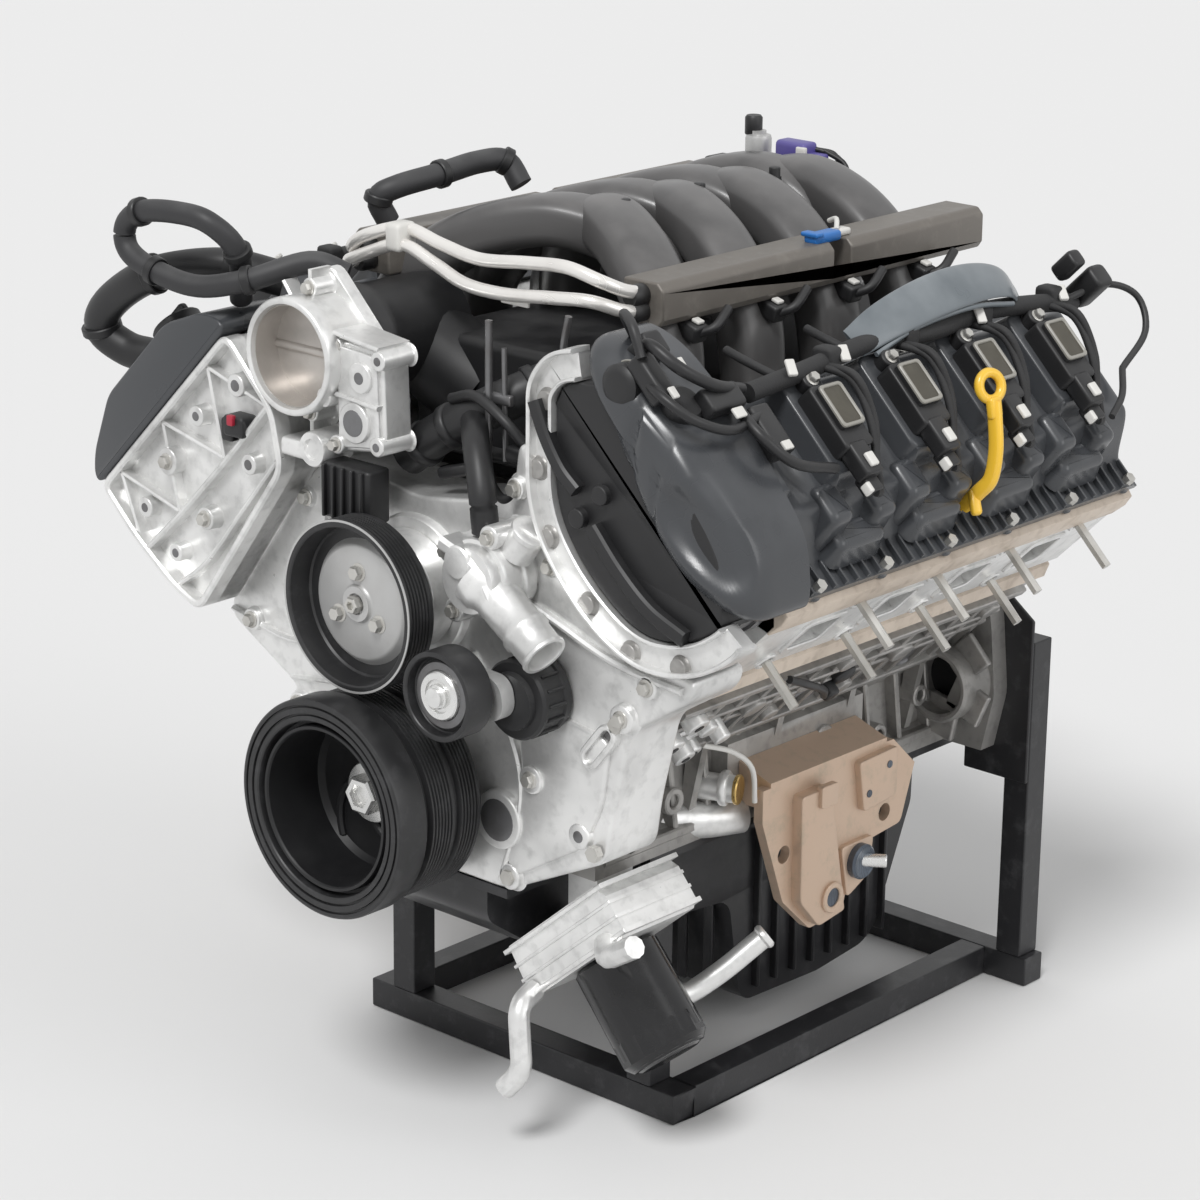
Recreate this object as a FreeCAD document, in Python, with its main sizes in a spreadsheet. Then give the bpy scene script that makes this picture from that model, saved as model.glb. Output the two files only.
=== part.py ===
"""A complete 90-degree V8 engine of about five litres on its display stand.

The frame: +Z up, the engine's front faces -Y, +X is the engine's left bank, and the origin lies on
the crankshaft's axis at the block's rear face.  Stations along the crankshaft are counted forward
from that face, so a station S lies at Y = -S.  Each bank is drawn in its own upright frame, x outboard
and z up along its bores, and is then leaned over by bank_tilt.
"""
import FreeCAD, Part
import math
import os
import re
from FreeCAD import Placement, Rotation, Vector
from Sketcher import Constraint

os.makedirs("parts", exist_ok=True)
doc = FreeCAD.newDocument("v8_engine")

SIZES = [
    # crank train
    ("bore", 92.2), ("stroke", 92.7), ("bore_pitch", 100), ("rod_length", 150.7),
    ("bank_tilt", 45), ("bank_shift", 19), ("rear_bore", 109), ("rear_main", 68.5),
    ("main_radius", 33.75), ("running_gap", 0.05), ("bulkhead", 28), ("pin_radius", 26.5),
    ("pin_width", 42), ("cheek", 14), ("web_radius", 70), ("pin_lobe", 30), ("main_lobe", 40),
    ("snout_radius", 20), ("snout_end", 612), ("crank_flange", 45), ("pilot_radius", 17.5),
    ("rod_width", 18.6), ("rod_big_end", 36), ("rod_small_end", 15), ("crown_height", 29),
    ("skirt_drop", 26),
    # block
    ("block_length", 495), ("deck_height", 227), ("deck_out", 88), ("deck_in", 80),
    ("rail_drop", 75), ("rail_half", 140), ("skirt_half", 128), ("crankcase_half", 104),
    ("front_half", 88), ("bay_radius", 93), ("valley_half", 40), ("valley_height", 150),
    ("rear_wall", 54.5), ("flange_thick", 20), ("flange_half", 195), ("cap_half", 62), ("cap_drop", 58),
    # heads and covers
    ("gasket", 1.4), ("head_top", 380), ("head_half", 86), ("port_face", 95), ("stud_seat", 6), ("cam_height", 356),
    ("cam_offset", 46), ("cam_radius", 13), ("lobe_base", 17), ("lobe_nose", 25), ("trough_floor", 322),
    ("trough_half", 76), ("cover_top", 428), ("coil_seat", 444), ("cover_wall", 4),
    ("left_rear", 28), ("bulge_front", 580), ("well_radius", 12), ("plug_radius", 7),
    # front end
    ("cover_front", 560), ("wing_front", 600), ("case_wall", 6), ("seal_boss", 46),
    ("crank_sprocket", 22.5), ("cam_sprocket", 46.5), ("cam_chain_sprocket", 35.5), ("chain_depth", 5),
    ("chain_width", 10), ("chain_gap", 0.5), ("left_chain", 516), ("right_chain", 530), ("short_chain", 500),
    # damper and pulleys
    ("damper_radius", 92.5), ("damper_rear", 577), ("damper_front", 672), ("ring_inner", 73),
    ("rubber_inner", 70), ("hub_radius", 30), ("hub_web", 596),
    ("pump_height", 165), ("pump_pulley", 71.5), ("pulley_front", 641),
    ("idler_x", 108), ("idler_z", 117), ("idler_radius", 37), ("arm_x", 140), ("arm_z", 108),
    # air and fuel
    ("throttle_x", -100), ("throttle_z", 347), ("throttle_bore", 42), ("throttle_rim", 49),
    ("throttle_front", 608), ("inlet_lip", 14), ("rail_near", 122), ("rail_far", 164), ("rail_base", 388), ("rail_top", 424),
    ("runner_width", 58), ("runner_top", 462), ("plenum_half", 90), ("plenum_base", 236),
    # oil
    ("pan_half", 138), ("pan_front_half", 100), ("sump_depth", 280), ("cooler_rear", 446),
    ("cooler_front", 536), ("filter_radius", 38), ("filter_length", 98),
    # stand
    ("tube", 27), ("ground", 303), ("front_rail", 438), ("side_rail_out", 181), ("rear_rail_gap", 4),
    ("rear_half", 227), ("post_out", 220), ("rear_post_top", 30), ("front_post_in", 127),
]
NAMES = {alias for alias, number in SIZES}
sheet = doc.addObject("Spreadsheet::Sheet", "dims")
for row, (alias, number) in enumerate(SIZES, 1):
    sheet.set("A%d" % row, alias)
    sheet.set("B%d" % row, str(number))
    sheet.setAlias("B%d" % row, alias)
doc.recompute()
reader = doc.addObject("App::FeaturePython", "reader")

PIN_ANGLES = (135, -135, 45, -45)      # crank pins from the rear, with cylinder 1 at top dead centre
NODES = []


# ---------------------------------------------------------------- helpers

def linked(text):
    """The expression text, with each driving dimension's name pointing at the sheet."""
    return re.sub(r"[a-z]\w*", lambda w: "dims." + w.group() if w.group() in NAMES else w.group(), str(text))


def size(text):
    return float(reader.evalExpression(linked(text)))


class SubPart:
    """A PartDesign body with its sketches; side -1 mirrors what is drawn in its front view."""

    def __init__(self, name, place=None, side=1, keep=True):
        self.body = doc.addObject("PartDesign::Body", name)
        self.body.Label = name
        if hasattr(self.body, "AllowCompound"):
            self.body.AllowCompound = True
        self.body.Placement = place or Placement()
        self.side = side
        self.volume = 0.0
        if keep:
            NODES.append(self.body)

    def bind(self, thing, prop, text):
        if isinstance(text, str):
            thing.setExpression(prop, linked(text))

    def sketch(self, plane, start, corners=(), circles=(), turn=None):
        """A closed outline; a corner is (x, y) or (x, y, radius), a circle is (x, y, radius)."""
        body = self.body
        sketch = body.newObject("Sketcher::SketchObject", "outline")
        support = [f for f in body.Origin.OriginFeatures if f.Role == plane][0]
        sketch.AttachmentSupport = [(support, "")]
        sketch.MapMode = "FlatFace"
        if turn:
            sketch.AttachmentOffset = turn
        else:
            sketch.AttachmentOffset = Placement(Vector(0, 0, size(start)), Rotation())
            self.bind(sketch, "AttachmentOffset.Base.z", start)
        flip = "-(%s)" if self.side < 0 and plane in ("XZ_Plane", "XY_Plane") else "%s"
        if corners:
            self.polygon(sketch, [(flip % c[0],) + tuple(c[1:]) for c in corners])
        for x, y, radius in circles:
            self.circle(sketch, flip % x, y, radius)
        return sketch

    def pin_point(self, sketch, geometry, point, x, y):
        for kind, text in (("DistanceX", x), ("DistanceY", y)):
            row = sketch.addConstraint(Constraint(kind, -1, 1, geometry, point, size(text)))
            self.bind(sketch, "Constraints[%d]" % row, str(text))

    def circle(self, sketch, x, y, radius):
        ring = sketch.addGeometry(Part.Circle(Vector(size(x), size(y), 0), Vector(0, 0, 1), size(radius)))
        self.pin_point(sketch, ring, 3, x, y)
        row = sketch.addConstraint(Constraint("Radius", ring, size(radius)))
        self.bind(sketch, "Constraints[%d]" % row, str(radius))

    def polygon(self, sketch, corners):
        """Straight sides between the corners, and a tangent arc at each corner that has a radius."""
        spots = [Vector(size(c[0]), size(c[1]), 0) for c in corners]
        count = len(spots)
        ends = []
        for i, corner in enumerate(corners):
            back = (spots[i - 1] - spots[i]).normalize()
            ahead = (spots[(i + 1) % count] - spots[i]).normalize()
            if len(corner) < 3:
                ends.append((spots[i], spots[i], None, 0, 0))
                continue
            half = math.acos(max(-1, min(1, back.dot(ahead)))) / 2
            radius = size(corner[2])
            run = radius / math.tan(half)
            centre = spots[i] + (back + ahead).normalize() * (radius / math.sin(half))
            left_turn = back.cross(ahead).z < 0
            ends.append((spots[i] + back * run, spots[i] + ahead * run, centre, radius, left_turn))
        lines = [sketch.addGeometry(Part.LineSegment(ends[i][1], ends[(i + 1) % count][0]))
                 for i in range(count)]
        for i, corner in enumerate(corners):
            before, after = lines[i - 1], lines[i]
            arrive, leave, centre, radius, left_turn = ends[i]
            if centre is None:
                sketch.addConstraint(Constraint("Coincident", before, 2, after, 1))
                self.pin_point(sketch, after, 1, corner[0], corner[1])
                continue
            first, last = (arrive, leave) if left_turn else (leave, arrive)
            angles = [math.atan2(p.y - centre.y, p.x - centre.x) for p in (first, last)]
            if angles[1] < angles[0]:
                angles[1] += 2 * math.pi
            ring = Part.Circle(centre, Vector(0, 0, 1), radius)
            arc = sketch.addGeometry(Part.ArcOfCircle(ring, angles[0], angles[1]))
            spot = sketch.addGeometry(Part.Point(spots[i]), True)
            sketch.addConstraint(Constraint("Tangent", before, 2, arc, 1 if left_turn else 2))
            sketch.addConstraint(Constraint("Tangent", after, 1, arc, 2 if left_turn else 1))
            row = sketch.addConstraint(Constraint("Radius", arc, radius))
            self.bind(sketch, "Constraints[%d]" % row, str(corner[2]))
            sketch.addConstraint(Constraint("PointOnObject", spot, 1, before))
            sketch.addConstraint(Constraint("PointOnObject", spot, 1, after))
            self.pin_point(sketch, spot, 1, corner[0], corner[1])

    def check(self, feature, cut):
        """A cut has to take something away and a pad has to add something."""
        doc.recompute()
        volume = self.body.Shape.Volume
        gained = volume - self.volume
        if (gained > -1e-3) if cut else (gained < 1e-3):
            raise RuntimeError("%s: a feature changed nothing (%s)" % (self.body.Label, feature.Name))
        self.volume = volume
        return self

    def pad(self, corners=(), start=0, length=10, plane="XZ_Plane", circles=(), cut=False, turn=None):
        """Extrude an outline along its plane's normal, from start, and add it or cut it away."""
        sketch = self.sketch(plane, start, corners, circles, turn)
        kind = "PartDesign::Pocket" if cut else "PartDesign::Pad"
        feature = self.body.newObject(kind, "cut" if cut else "pad")
        feature.Profile = sketch
        feature.Length = size(length)
        self.bind(feature, "Length", length)
        feature.Reversed = cut
        return self.check(feature, cut)

    def cut(self, *args, **named):
        return self.pad(*args, cut=True, **named)

    def turned(self, corners, cut=False, plane="YZ_Plane", axis="H_Axis"):
        """Revolve a half section: (y, radius) about the Y axis, or (radius, z) about the Z axis."""
        sketch = self.sketch(plane, 0, corners)
        kind = "PartDesign::Groove" if cut else "PartDesign::Revolution"
        feature = self.body.newObject(kind, "groove" if cut else "turned")
        feature.Profile = sketch
        feature.ReferenceAxis = (sketch, [axis])
        feature.Angle = 360
        return self.check(feature, cut)


def box(x0, x1, y0, y1):
    return [(x0, y0), (x1, y0), (x1, y1), (x0, y1)]


def grown(corners, distance):
    """The parallel of an outline of plain numbers, outside it, or inside it for a negative distance."""
    spots = [Vector(c[0], c[1], 0) for c in corners]
    area = sum(a.cross(b).z for a, b in zip(spots, spots[1:] + spots[:1]))
    way = math.copysign(1, area)
    result = []
    for i, corner in enumerate(corners):
        back = (spots[i] - spots[i - 1]).normalize()
        ahead = (spots[(i + 1) % len(spots)] - spots[i]).normalize()
        out_back = Vector(back.y, -back.x, 0) * way
        out_ahead = Vector(ahead.y, -ahead.x, 0) * way
        spot = spots[i] + (out_back + out_ahead) * (distance / (1 + out_back.dot(out_ahead)))
        bulges = back.cross(ahead).z * way > 0
        radius = [max(corner[2] + (distance if bulges else -distance), 0.5)] if len(corner) > 2 else []
        result.append((round(spot.x, 3), round(spot.y, 3), *radius))
    return result


def in_front_view(side, corners):
    """Bank corners (outboard, height) in the engine's own front view, X and Z."""
    half = math.sqrt(0.5)
    return [(round(side * (c[0] + c[1]) * half, 3), round((c[1] - c[0]) * half, 3)) + tuple(c[2:])
            for c in corners]


def collect(name, shapes):
    """One node that holds a group of like, separate solids."""
    feature = doc.addObject("Part::Feature", name)
    feature.Label = name
    feature.Shape = Part.makeCompound(shapes)
    NODES.append(feature)
    return feature


def bank_place(side):
    return Placement(Vector(), Rotation(Vector(0, 1, 0), size("bank_tilt") * side))


def on_bank(side, outboard, station, height):
    """A point given in a bank's own frame, in the engine's frame."""
    return bank_place(side).multVec(Vector(side * outboard, -station, height))


def rod(start, end, radius):
    """A plain round bar between two points."""
    run = end - start
    return Part.makeCylinder(radius, run.Length, start, run)


def hexagon(start, end, radius):
    """A six-sided bar between two points; radius is to its corners."""
    run = end - start
    flat = Part.makePolygon([Vector(radius * math.cos(math.radians(60 * k)),
                                    radius * math.sin(math.radians(60 * k)), 0) for k in range(7)])
    bar = Part.Face(flat).extrude(Vector(0, 0, run.Length))
    bar.Placement = Placement(start, Rotation(Vector(0, 0, 1), run))
    return bar


def tube_along(points, radius, sides=0):
    """A bar along straight runs joined by tangent arcs; with sides, its section is a polygon."""
    edges = []
    last = points[0]
    for i in range(1, len(points) - 1):
        back = points[i - 1] - points[i]
        ahead = points[i + 1] - points[i]
        reach = 0.45 * min(back.Length, ahead.Length)
        back.normalize()
        ahead.normalize()
        arrive = points[i] + back * reach
        leave = points[i] + ahead * reach
        half = math.acos(max(-1, min(1, back.dot(ahead)))) / 2
        bend = reach * math.tan(half)
        centre = points[i] + (back + ahead).normalize() * (reach / math.cos(half))
        middle = centre + (points[i] - centre).normalize() * bend
        edges.append(Part.LineSegment(last, arrive).toShape())
        edges.append(Part.Arc(arrive, middle, leave).toShape())
        last = leave
    edges.append(Part.LineSegment(last, points[-1]).toShape())
    spine = Part.Wire(edges)
    heading = points[1] - points[0]
    if sides:
        section = Part.makePolygon([Vector(radius * math.cos(2 * math.pi * k / sides),
                                           radius * math.sin(2 * math.pi * k / sides), 0)
                                    for k in range(sides + 1)])
        section.Placement = Placement(points[0], Rotation(Vector(0, 0, 1), heading))
    else:
        section = Part.Wire(Part.makeCircle(radius, points[0], heading))
    bar = spine.makePipeShell([section], True, False)
    if bar.Volume < 0:
        bar.reverse()
    return bar


def loop_band(first, first_radius, second, second_radius, depth, station, width):
    """A closed chain run round two wheels: straight tangents and two arcs, depth thick."""

    def face(grow):
        r1, r2 = first_radius + grow, second_radius + grow
        across = second - first
        lean = math.atan2(across.z, across.x)
        open_angle = math.acos((r1 - r2) / across.Length)
        spots = []
        for sign in (1, -1):
            angle = lean + sign * open_angle
            out = Vector(math.cos(angle), 0, math.sin(angle))
            spots.append((first + out * r1, second + out * r2))
        along = Vector(math.cos(lean), 0, math.sin(lean))
        edges = [Part.LineSegment(spots[0][0], spots[0][1]).toShape(),
                 Part.Arc(spots[0][1], second + along * r2, spots[1][1]).toShape(),
                 Part.LineSegment(spots[1][1], spots[1][0]).toShape(),
                 Part.Arc(spots[1][0], first - along * r1, spots[0][0]).toShape()]
        return Part.Face(Part.Wire(edges))

    band = face(depth).cut(face(0)).extrude(Vector(0, -width, 0))
    band.translate(Vector(0, -station, 0))
    return band


# ---------------------------------------------------------------- block and crank train

def bore_station(side, index):
    """Stations of the bores from the rear; the right bank stands further forward."""
    return "rear_bore + bore_pitch*%d%s" % (index, "" if side > 0 else " + bank_shift")


def cylinder_block():
    block = SubPart("cylinder_block")
    right = [("rail_half", "-rail_drop"), ("rail_half", "-rail_drop + 13"), ("skirt_half", "-rail_drop + 22"),
             ("skirt_half", -2), ("skirt_half + 16", 15),
             ("(deck_height + deck_out)/sqrt(2)", "(deck_height - deck_out)/sqrt(2)"),
             ("(deck_height - deck_in)/sqrt(2)", "(deck_height + deck_in)/sqrt(2)"),
             ("valley_half", "valley_height")]
    left = [("-(%s)" % x, z) for x, z in reversed(right)]
    block.pad(right + left, 0, "block_length")
    flange = [("flange_half - 12", "-rail_drop"), ("flange_half", -20, 40), ("flange_half - 8", 60, 60),
              ("flange_half - 80", 160, 40)]
    block.pad(flange + [("-(%s)" % c[0],) + c[1:] for c in reversed(flange)], 0, "flange_thick")
    for side in (1, -1):
        mount_pad = [("%d*(skirt_half - 6)" % side, -55), ("%d*(skirt_half + 18)" % side, -55),
                     ("%d*(skirt_half + 18)" % side, 4), ("%d*(skirt_half - 6)" % side, 12)]
        block.pad(mount_pad, 150, 185)
        for index in range(5):
            rib = [("%d*(skirt_half - 3)" % side, -55), ("%d*(skirt_half + 7)" % side, -52),
                   ("%d*(skirt_half + 24)" % side, 22), ("%d*(skirt_half + 5)" % side, 12)]
            block.pad(rib, "rear_main + bore_pitch*%d - 4" % index, 8)
    block.cut(box("-crankcase_half", "crankcase_half", "-rail_drop - 1", 0), "rear_wall", "430 - rear_wall")
    block.cut(box("-front_half", "front_half", "-rail_drop - 1", 0), 430, "block_length - 12.5 - 430")
    for index in range(4):
        block.cut(start="rear_main + bulkhead/2 + bore_pitch*%d" % index, length="bore_pitch - bulkhead",
                  circles=[(0, 0, "bay_radius")])
    block.cut(start="rear_wall", length="block_length - rear_wall",
              circles=[(0, 0, "main_radius + running_gap")])
    block.cut(start=0, length="rear_wall", circles=[(0, 0, "crank_flange + 1")])
    for side in (1, -1):
        top = size("deck_height") + 1
        lean = Rotation(Vector(0, 1, 0), size("bank_tilt") * side)
        turn = Placement(lean.multVec(Vector(0, 0, top)), lean)
        bores = [(0, "-(%s)" % bore_station(side, index), "bore/2") for index in range(4)]
        sketch_cut(block, turn, bores, top - 60)
    dipstick_turn = Placement(Rotation(Vector(0, 1, 0), 45).multVec(Vector(63, 0, size("deck_height") + 1)),
                              Rotation(Vector(0, 1, 0), 45))
    sketch_cut(block, dipstick_turn, [(0, "-259", 3)], size("deck_height") - 40)
    bell_holes = [(x, z, 6) for x in (-165, 165) for z in (-45, 60)] + [(-75, 140, 6), (75, 140, 6)]
    block.cut(start=0, length="flange_thick + 1", circles=bell_holes)
    return block


def sketch_cut(part, turn, circles, depth):
    """Round holes sunk from a leaning face: the sketch lies on the turned XY plane."""
    sketch = part.body.newObject("Sketcher::SketchObject", "outline")
    support = [f for f in part.body.Origin.OriginFeatures if f.Role == "XY_Plane"][0]
    sketch.AttachmentSupport = [(support, "")]
    sketch.MapMode = "FlatFace"
    sketch.AttachmentOffset = turn
    for x, y, radius in circles:
        part.circle(sketch, x, y, radius)
    feature = part.body.newObject("PartDesign::Pocket", "cut")
    feature.Profile = sketch
    feature.Length = depth
    part.check(feature, True)


def main_bearing_caps():
    cap = SubPart("main_bearing_caps")
    for index in range(5):
        start = "rear_main - bulkhead/2 + bore_pitch*%d" % index
        cap.pad([("-cap_half", 0), ("-cap_half", "12 - cap_drop"), ("10 - cap_half", "-cap_drop"),
                 ("cap_half - 10", "-cap_drop"), ("cap_half", "12 - cap_drop"), ("cap_half", 0)],
                start, "bulkhead")
    cap.cut(start="rear_main - bulkhead/2 - 1", length="bore_pitch*4 + bulkhead + 2",
            circles=[(0, 0, "main_radius + running_gap")])


def crankshaft():
    crank = SubPart("crankshaft")
    crank.turned([("8", 0), ("8", "crank_flange"), ("1 - rear_wall", "crank_flange"),
                  ("1 - rear_wall", "main_radius"), ("-rear_main - bulkhead/2 - 1", "main_radius"),
                  ("-rear_main - bulkhead/2 - 1", 0)])
    for index in range(1, 5):
        start = "rear_main + bore_pitch*%d - bulkhead/2 - 1" % index
        crank.pad(start=start, length="bulkhead + 2", circles=[(0, 0, "main_radius")])
    for index, angle in enumerate(PIN_ANGLES):
        spin = math.radians(angle)
        pin_x, pin_z = math.sin(spin), math.cos(spin)

        def at(side, along):
            """Across and along the throw, in the engine's X and Z."""
            return ("(%s)*%.6f + (%s)*%.6f" % (side, pin_z, along, pin_x),
                    "(%s)*%.6f + (%s)*%.6f" % (side, -pin_x, along, pin_z))

        cheek = [at("-pin_lobe", "stroke/2 + pin_lobe") + ("pin_lobe*0.96",),
                 at("-main_lobe - 4", 0), at("-web_radius*0.93", "-web_radius*0.36"),
                 at("-web_radius*0.8", "-web_radius") + ("web_radius*0.62",),
                 at("web_radius*0.8", "-web_radius") + ("web_radius*0.62",),
                 at("web_radius*0.93", "-web_radius*0.36"), at("main_lobe + 4", 0),
                 at("pin_lobe", "stroke/2 + pin_lobe") + ("pin_lobe*0.96",)]
        station = "rear_main + 50 + bore_pitch*%d" % index
        for start in ("%s - pin_width/2 - cheek" % station, "%s + pin_width/2" % station):
            crank.pad(cheek, start, "cheek")
        pin = at(0, "stroke/2") + ("pin_radius",)
        crank.pad(start="%s - pin_width/2" % station, length="pin_width", circles=[pin])
    crank.pad(start="rear_main + bore_pitch*4 + bulkhead/2", length="snout_end - rear_main - 400 - 14",
              circles=[(0, 0, "snout_radius")])
    crank.cut(start=-9, length=30, circles=[(0, 0, "pilot_radius")])
    return crank


def connecting_rods():
    """Eight rods, two to a crank pin, drawn upright about the crank pin and leaned to their pistons."""
    master = SubPart("rod_pattern", keep=False)
    master.pad([(-20, 28), (-11, 50), (-9, "rod_length - 12"), (9, "rod_length - 12"), (11, 50), (20, 28)],
               0, "rod_width")
    master.pad(start=0, length="rod_width", circles=[(0, 0, "rod_big_end")])
    master.pad(start=0, length="rod_width", circles=[(0, "rod_length", "rod_small_end")])
    master.cut(start=-1, length="rod_width + 2", circles=[(0, 0, "pin_radius + running_gap")])
    rods = []
    for side in (1, -1):
        for index in range(4):
            spin = math.radians(PIN_ANGLES[index])
            pin = Vector(math.sin(spin), 0, math.cos(spin)) * (size("stroke") / 2)
            across = Vector(math.cos(math.radians(45)), 0, -side * math.sin(math.radians(45)))
            swing = math.degrees(math.asin(across.dot(pin) / size("rod_length")))
            start = size(bore_station(side, index)) - size("rod_width") / 2
            rod_copy = master.body.Shape.copy()
            rod_copy.Placement = Placement(pin + Vector(0, -start, 0),
                                           Rotation(Vector(0, 1, 0), 45 * side - swing))
            rods.append(rod_copy)
    collect("connecting_rods", rods)


def wrist_height(side, index):
    """How far a piston's pin stands up its bore, at the crankshaft's rest angle."""
    phase = math.radians(PIN_ANGLES[index] - 45 * side)
    half = size("stroke") / 2
    return half * math.cos(phase) + math.sqrt(size("rod_length") ** 2 - (half * math.sin(phase)) ** 2)


def piston(side, index):
    """One piston with a slot for the rod's small end; cylinder 1 is the right bank's front one."""
    number = (4 - index) if side < 0 else (8 - index)
    body = SubPart("piston_%d" % number, bank_place(side), side)
    wrist = wrist_height(side, index)
    station = bore_station(side, index)
    body.pad(start="%.4f - skirt_drop" % wrist, length="skirt_drop + crown_height", plane="XY_Plane",
             circles=[(0, "-(%s)" % station, "bore/2 - running_gap")])
    body.cut(box(-37, 37, "%.4f - skirt_drop - 1" % wrist, "%.4f + rod_small_end + 3" % wrist),
             "%s - rod_width/2 - 0.6" % station, "rod_width + 1.2")


# ---------------------------------------------------------------- heads, cams and timing drive

def head_gaskets():
    sides = []
    for side in (1, -1):
        gasket = SubPart("gasket_pattern", bank_place(side), side, keep=False)
        rear = "left_rear" if side > 0 else "left_rear + bank_shift"
        holes = [(0, "-(%s)" % bore_station(side, index), "bore/2 + 1") for index in range(4)]
        if side > 0:
            holes.append((63, -259, 3.4))
        gasket.pad(box("-deck_in", "deck_out - 2", "-block_length", "-(%s)" % rear), "deck_height", "gasket",
                   plane="XY_Plane", circles=holes)
        sides.append(gasket.body.Shape)
    collect("head_gaskets", sides)


STUD_PLACES = ((-30, 350), (30, 284))


def cylinder_head(side):
    """A head with its cam trough, ports, plug wells and a sunk seat round each exhaust stud."""
    head = SubPart("cylinder_head_left" if side > 0 else "cylinder_head_right", bank_place(side), side)
    rear = "left_rear" if side > 0 else "left_rear + bank_shift"
    base = "deck_height + gasket"
    head.pad([("-deck_in", base), ("deck_out - 2", base), ("deck_out - 2", 262), ("port_face", 274),
              ("port_face", 360), ("head_half", 368), ("head_half", "head_top"), ("-head_half", "head_top"),
              ("-head_half", 262), ("-deck_in", 254)], rear, "block_length - (%s)" % rear)
    head.cut(box("-trough_half", "trough_half", "trough_floor", "head_top + 1"), "%s + 10" % rear,
             "block_length - (%s) - 9" % rear)
    for index in range(4):
        station = bore_station(side, index)
        head.cut([(-33, "%s - 1" % base), (33, "%s - 1" % base), (0, 244)], "%s - 32" % station, 64)
        head.cut(box("port_face - 34", "port_face + 1", 300, 334), "%s - 20" % station, 40)
        head.cut(box("-head_half - 1", "30 - head_half", 284, 318), "%s - 24" % station, 48)
    holes = [(0, "-(%s)" % bore_station(side, index), "plug_radius") for index in range(4)]
    head.cut(start=233, length=90, plane="XY_Plane", circles=holes)
    wells = [(0, "-(%s)" % bore_station(side, index), "well_radius") for index in range(4)]
    head.cut(start=262, length=61, plane="XY_Plane", circles=wells)
    seats = [("-(%s) - (%d)" % (bore_station(side, index), offset), height, "stud_seat")
             for index in range(4) for offset, height in STUD_PLACES]
    head.cut(start="port_face - 1" if side > 0 else "-port_face - 1", length=2, plane="YZ_Plane", circles=seats)
    if side > 0:
        head.cut(start=228, length=95, plane="XY_Plane", circles=[(63, -259, 3)])
    return head


def cam_bridges():
    """Bearing bridges at both ends of each head's cam trough, with a bore for each camshaft."""
    bridges = []
    for side in (1, -1):
        bridge = SubPart("bridge_pattern", bank_place(side), side, keep=False)
        rear = 60 if side > 0 else 79
        for start in (rear, 480 - 19 * (side > 0)):
            bridge.pad(box("-trough_half", "trough_half", "cam_height - 22", "head_top - 2"), start, 14)
            bridge.cut(start=start - 1, length=16, circles=[(x, "cam_height", "cam_radius + running_gap")
                                                            for x in ("cam_offset", "-cam_offset")])
        bridges += bridge.body.Shape.Solids
    collect("cam_bridges", bridges)


LOBE_TURNS = {1: (70, 250, 160, 340), -1: (20, 200, 110, 290)}


def camshaft(side, intake):
    """A shaft with one wide lobe over each cylinder's valve pair, and its sprocket at the front."""
    name = "%s_cam_%s" % ("intake" if intake else "exhaust", "left" if side > 0 else "right")
    cam = SubPart(name, bank_place(side), side)
    x = "-cam_offset" if intake else "cam_offset"
    rear = 48 if side > 0 else 67
    row = "left_chain" if side > 0 else "right_chain"
    cam.pad(start=rear, length="%s + 14 - %d" % (row, rear), circles=[(x, "cam_height", "cam_radius")])
    for index in range(4):
        angle = math.radians(LOBE_TURNS[side][index] + (0 if intake else 110))
        station = bore_station(side, index)
        start = "%s - 28" % station
        cam.pad(start=start, length=56, circles=[(x, "cam_height", "lobe_base")])
        side_x, side_z = -math.sin(angle), math.cos(angle)
        tip = "(lobe_nose - 1)"
        flank = []
        for along, across in ((0, "lobe_base*0.97"), (1, "7"), (1, "-7"), (0, "-lobe_base*0.97")):
            reach_x = "%s*%.5f" % (tip if along else "0", math.cos(angle))
            reach_z = "%s*%.5f" % (tip if along else "0", math.sin(angle))
            flank.append(("%s + %s + %s*%.5f" % (x, reach_x, across, side_x),
                          "cam_height + %s + %s*%.5f" % (reach_z, across, side_z)))
        cam.pad(flank, start, 56)
    cam.pad(start="short_chain", length=10, circles=[(x, "cam_height", "cam_chain_sprocket")])
    if intake:
        cam.pad(start=row, length="chain_width", circles=[(x, "cam_height", "cam_sprocket")])
    else:
        cam.pad(start="short_chain + 10", length=16, circles=[(x, "cam_height", "cam_chain_sprocket + 3")])
    return cam


def timing_chains():
    centre = Vector()
    band = size("chain_depth")
    gap = size("chain_gap")
    bands = []
    for side, row in ((1, "left_chain"), (-1, "right_chain")):
        intake = on_bank(side, -size("cam_offset"), 0, size("cam_height"))
        exhaust = on_bank(side, size("cam_offset"), 0, size("cam_height"))
        bands.append(loop_band(centre, size("crank_sprocket") + gap, intake, size("cam_sprocket") + gap,
                               band, size(row), size("chain_width")))
        wheel = size("cam_chain_sprocket") + gap
        bands.append(loop_band(intake, wheel, exhaust, wheel, band, size("short_chain"), size("chain_width")))
    collect("timing_chains", bands)


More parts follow.
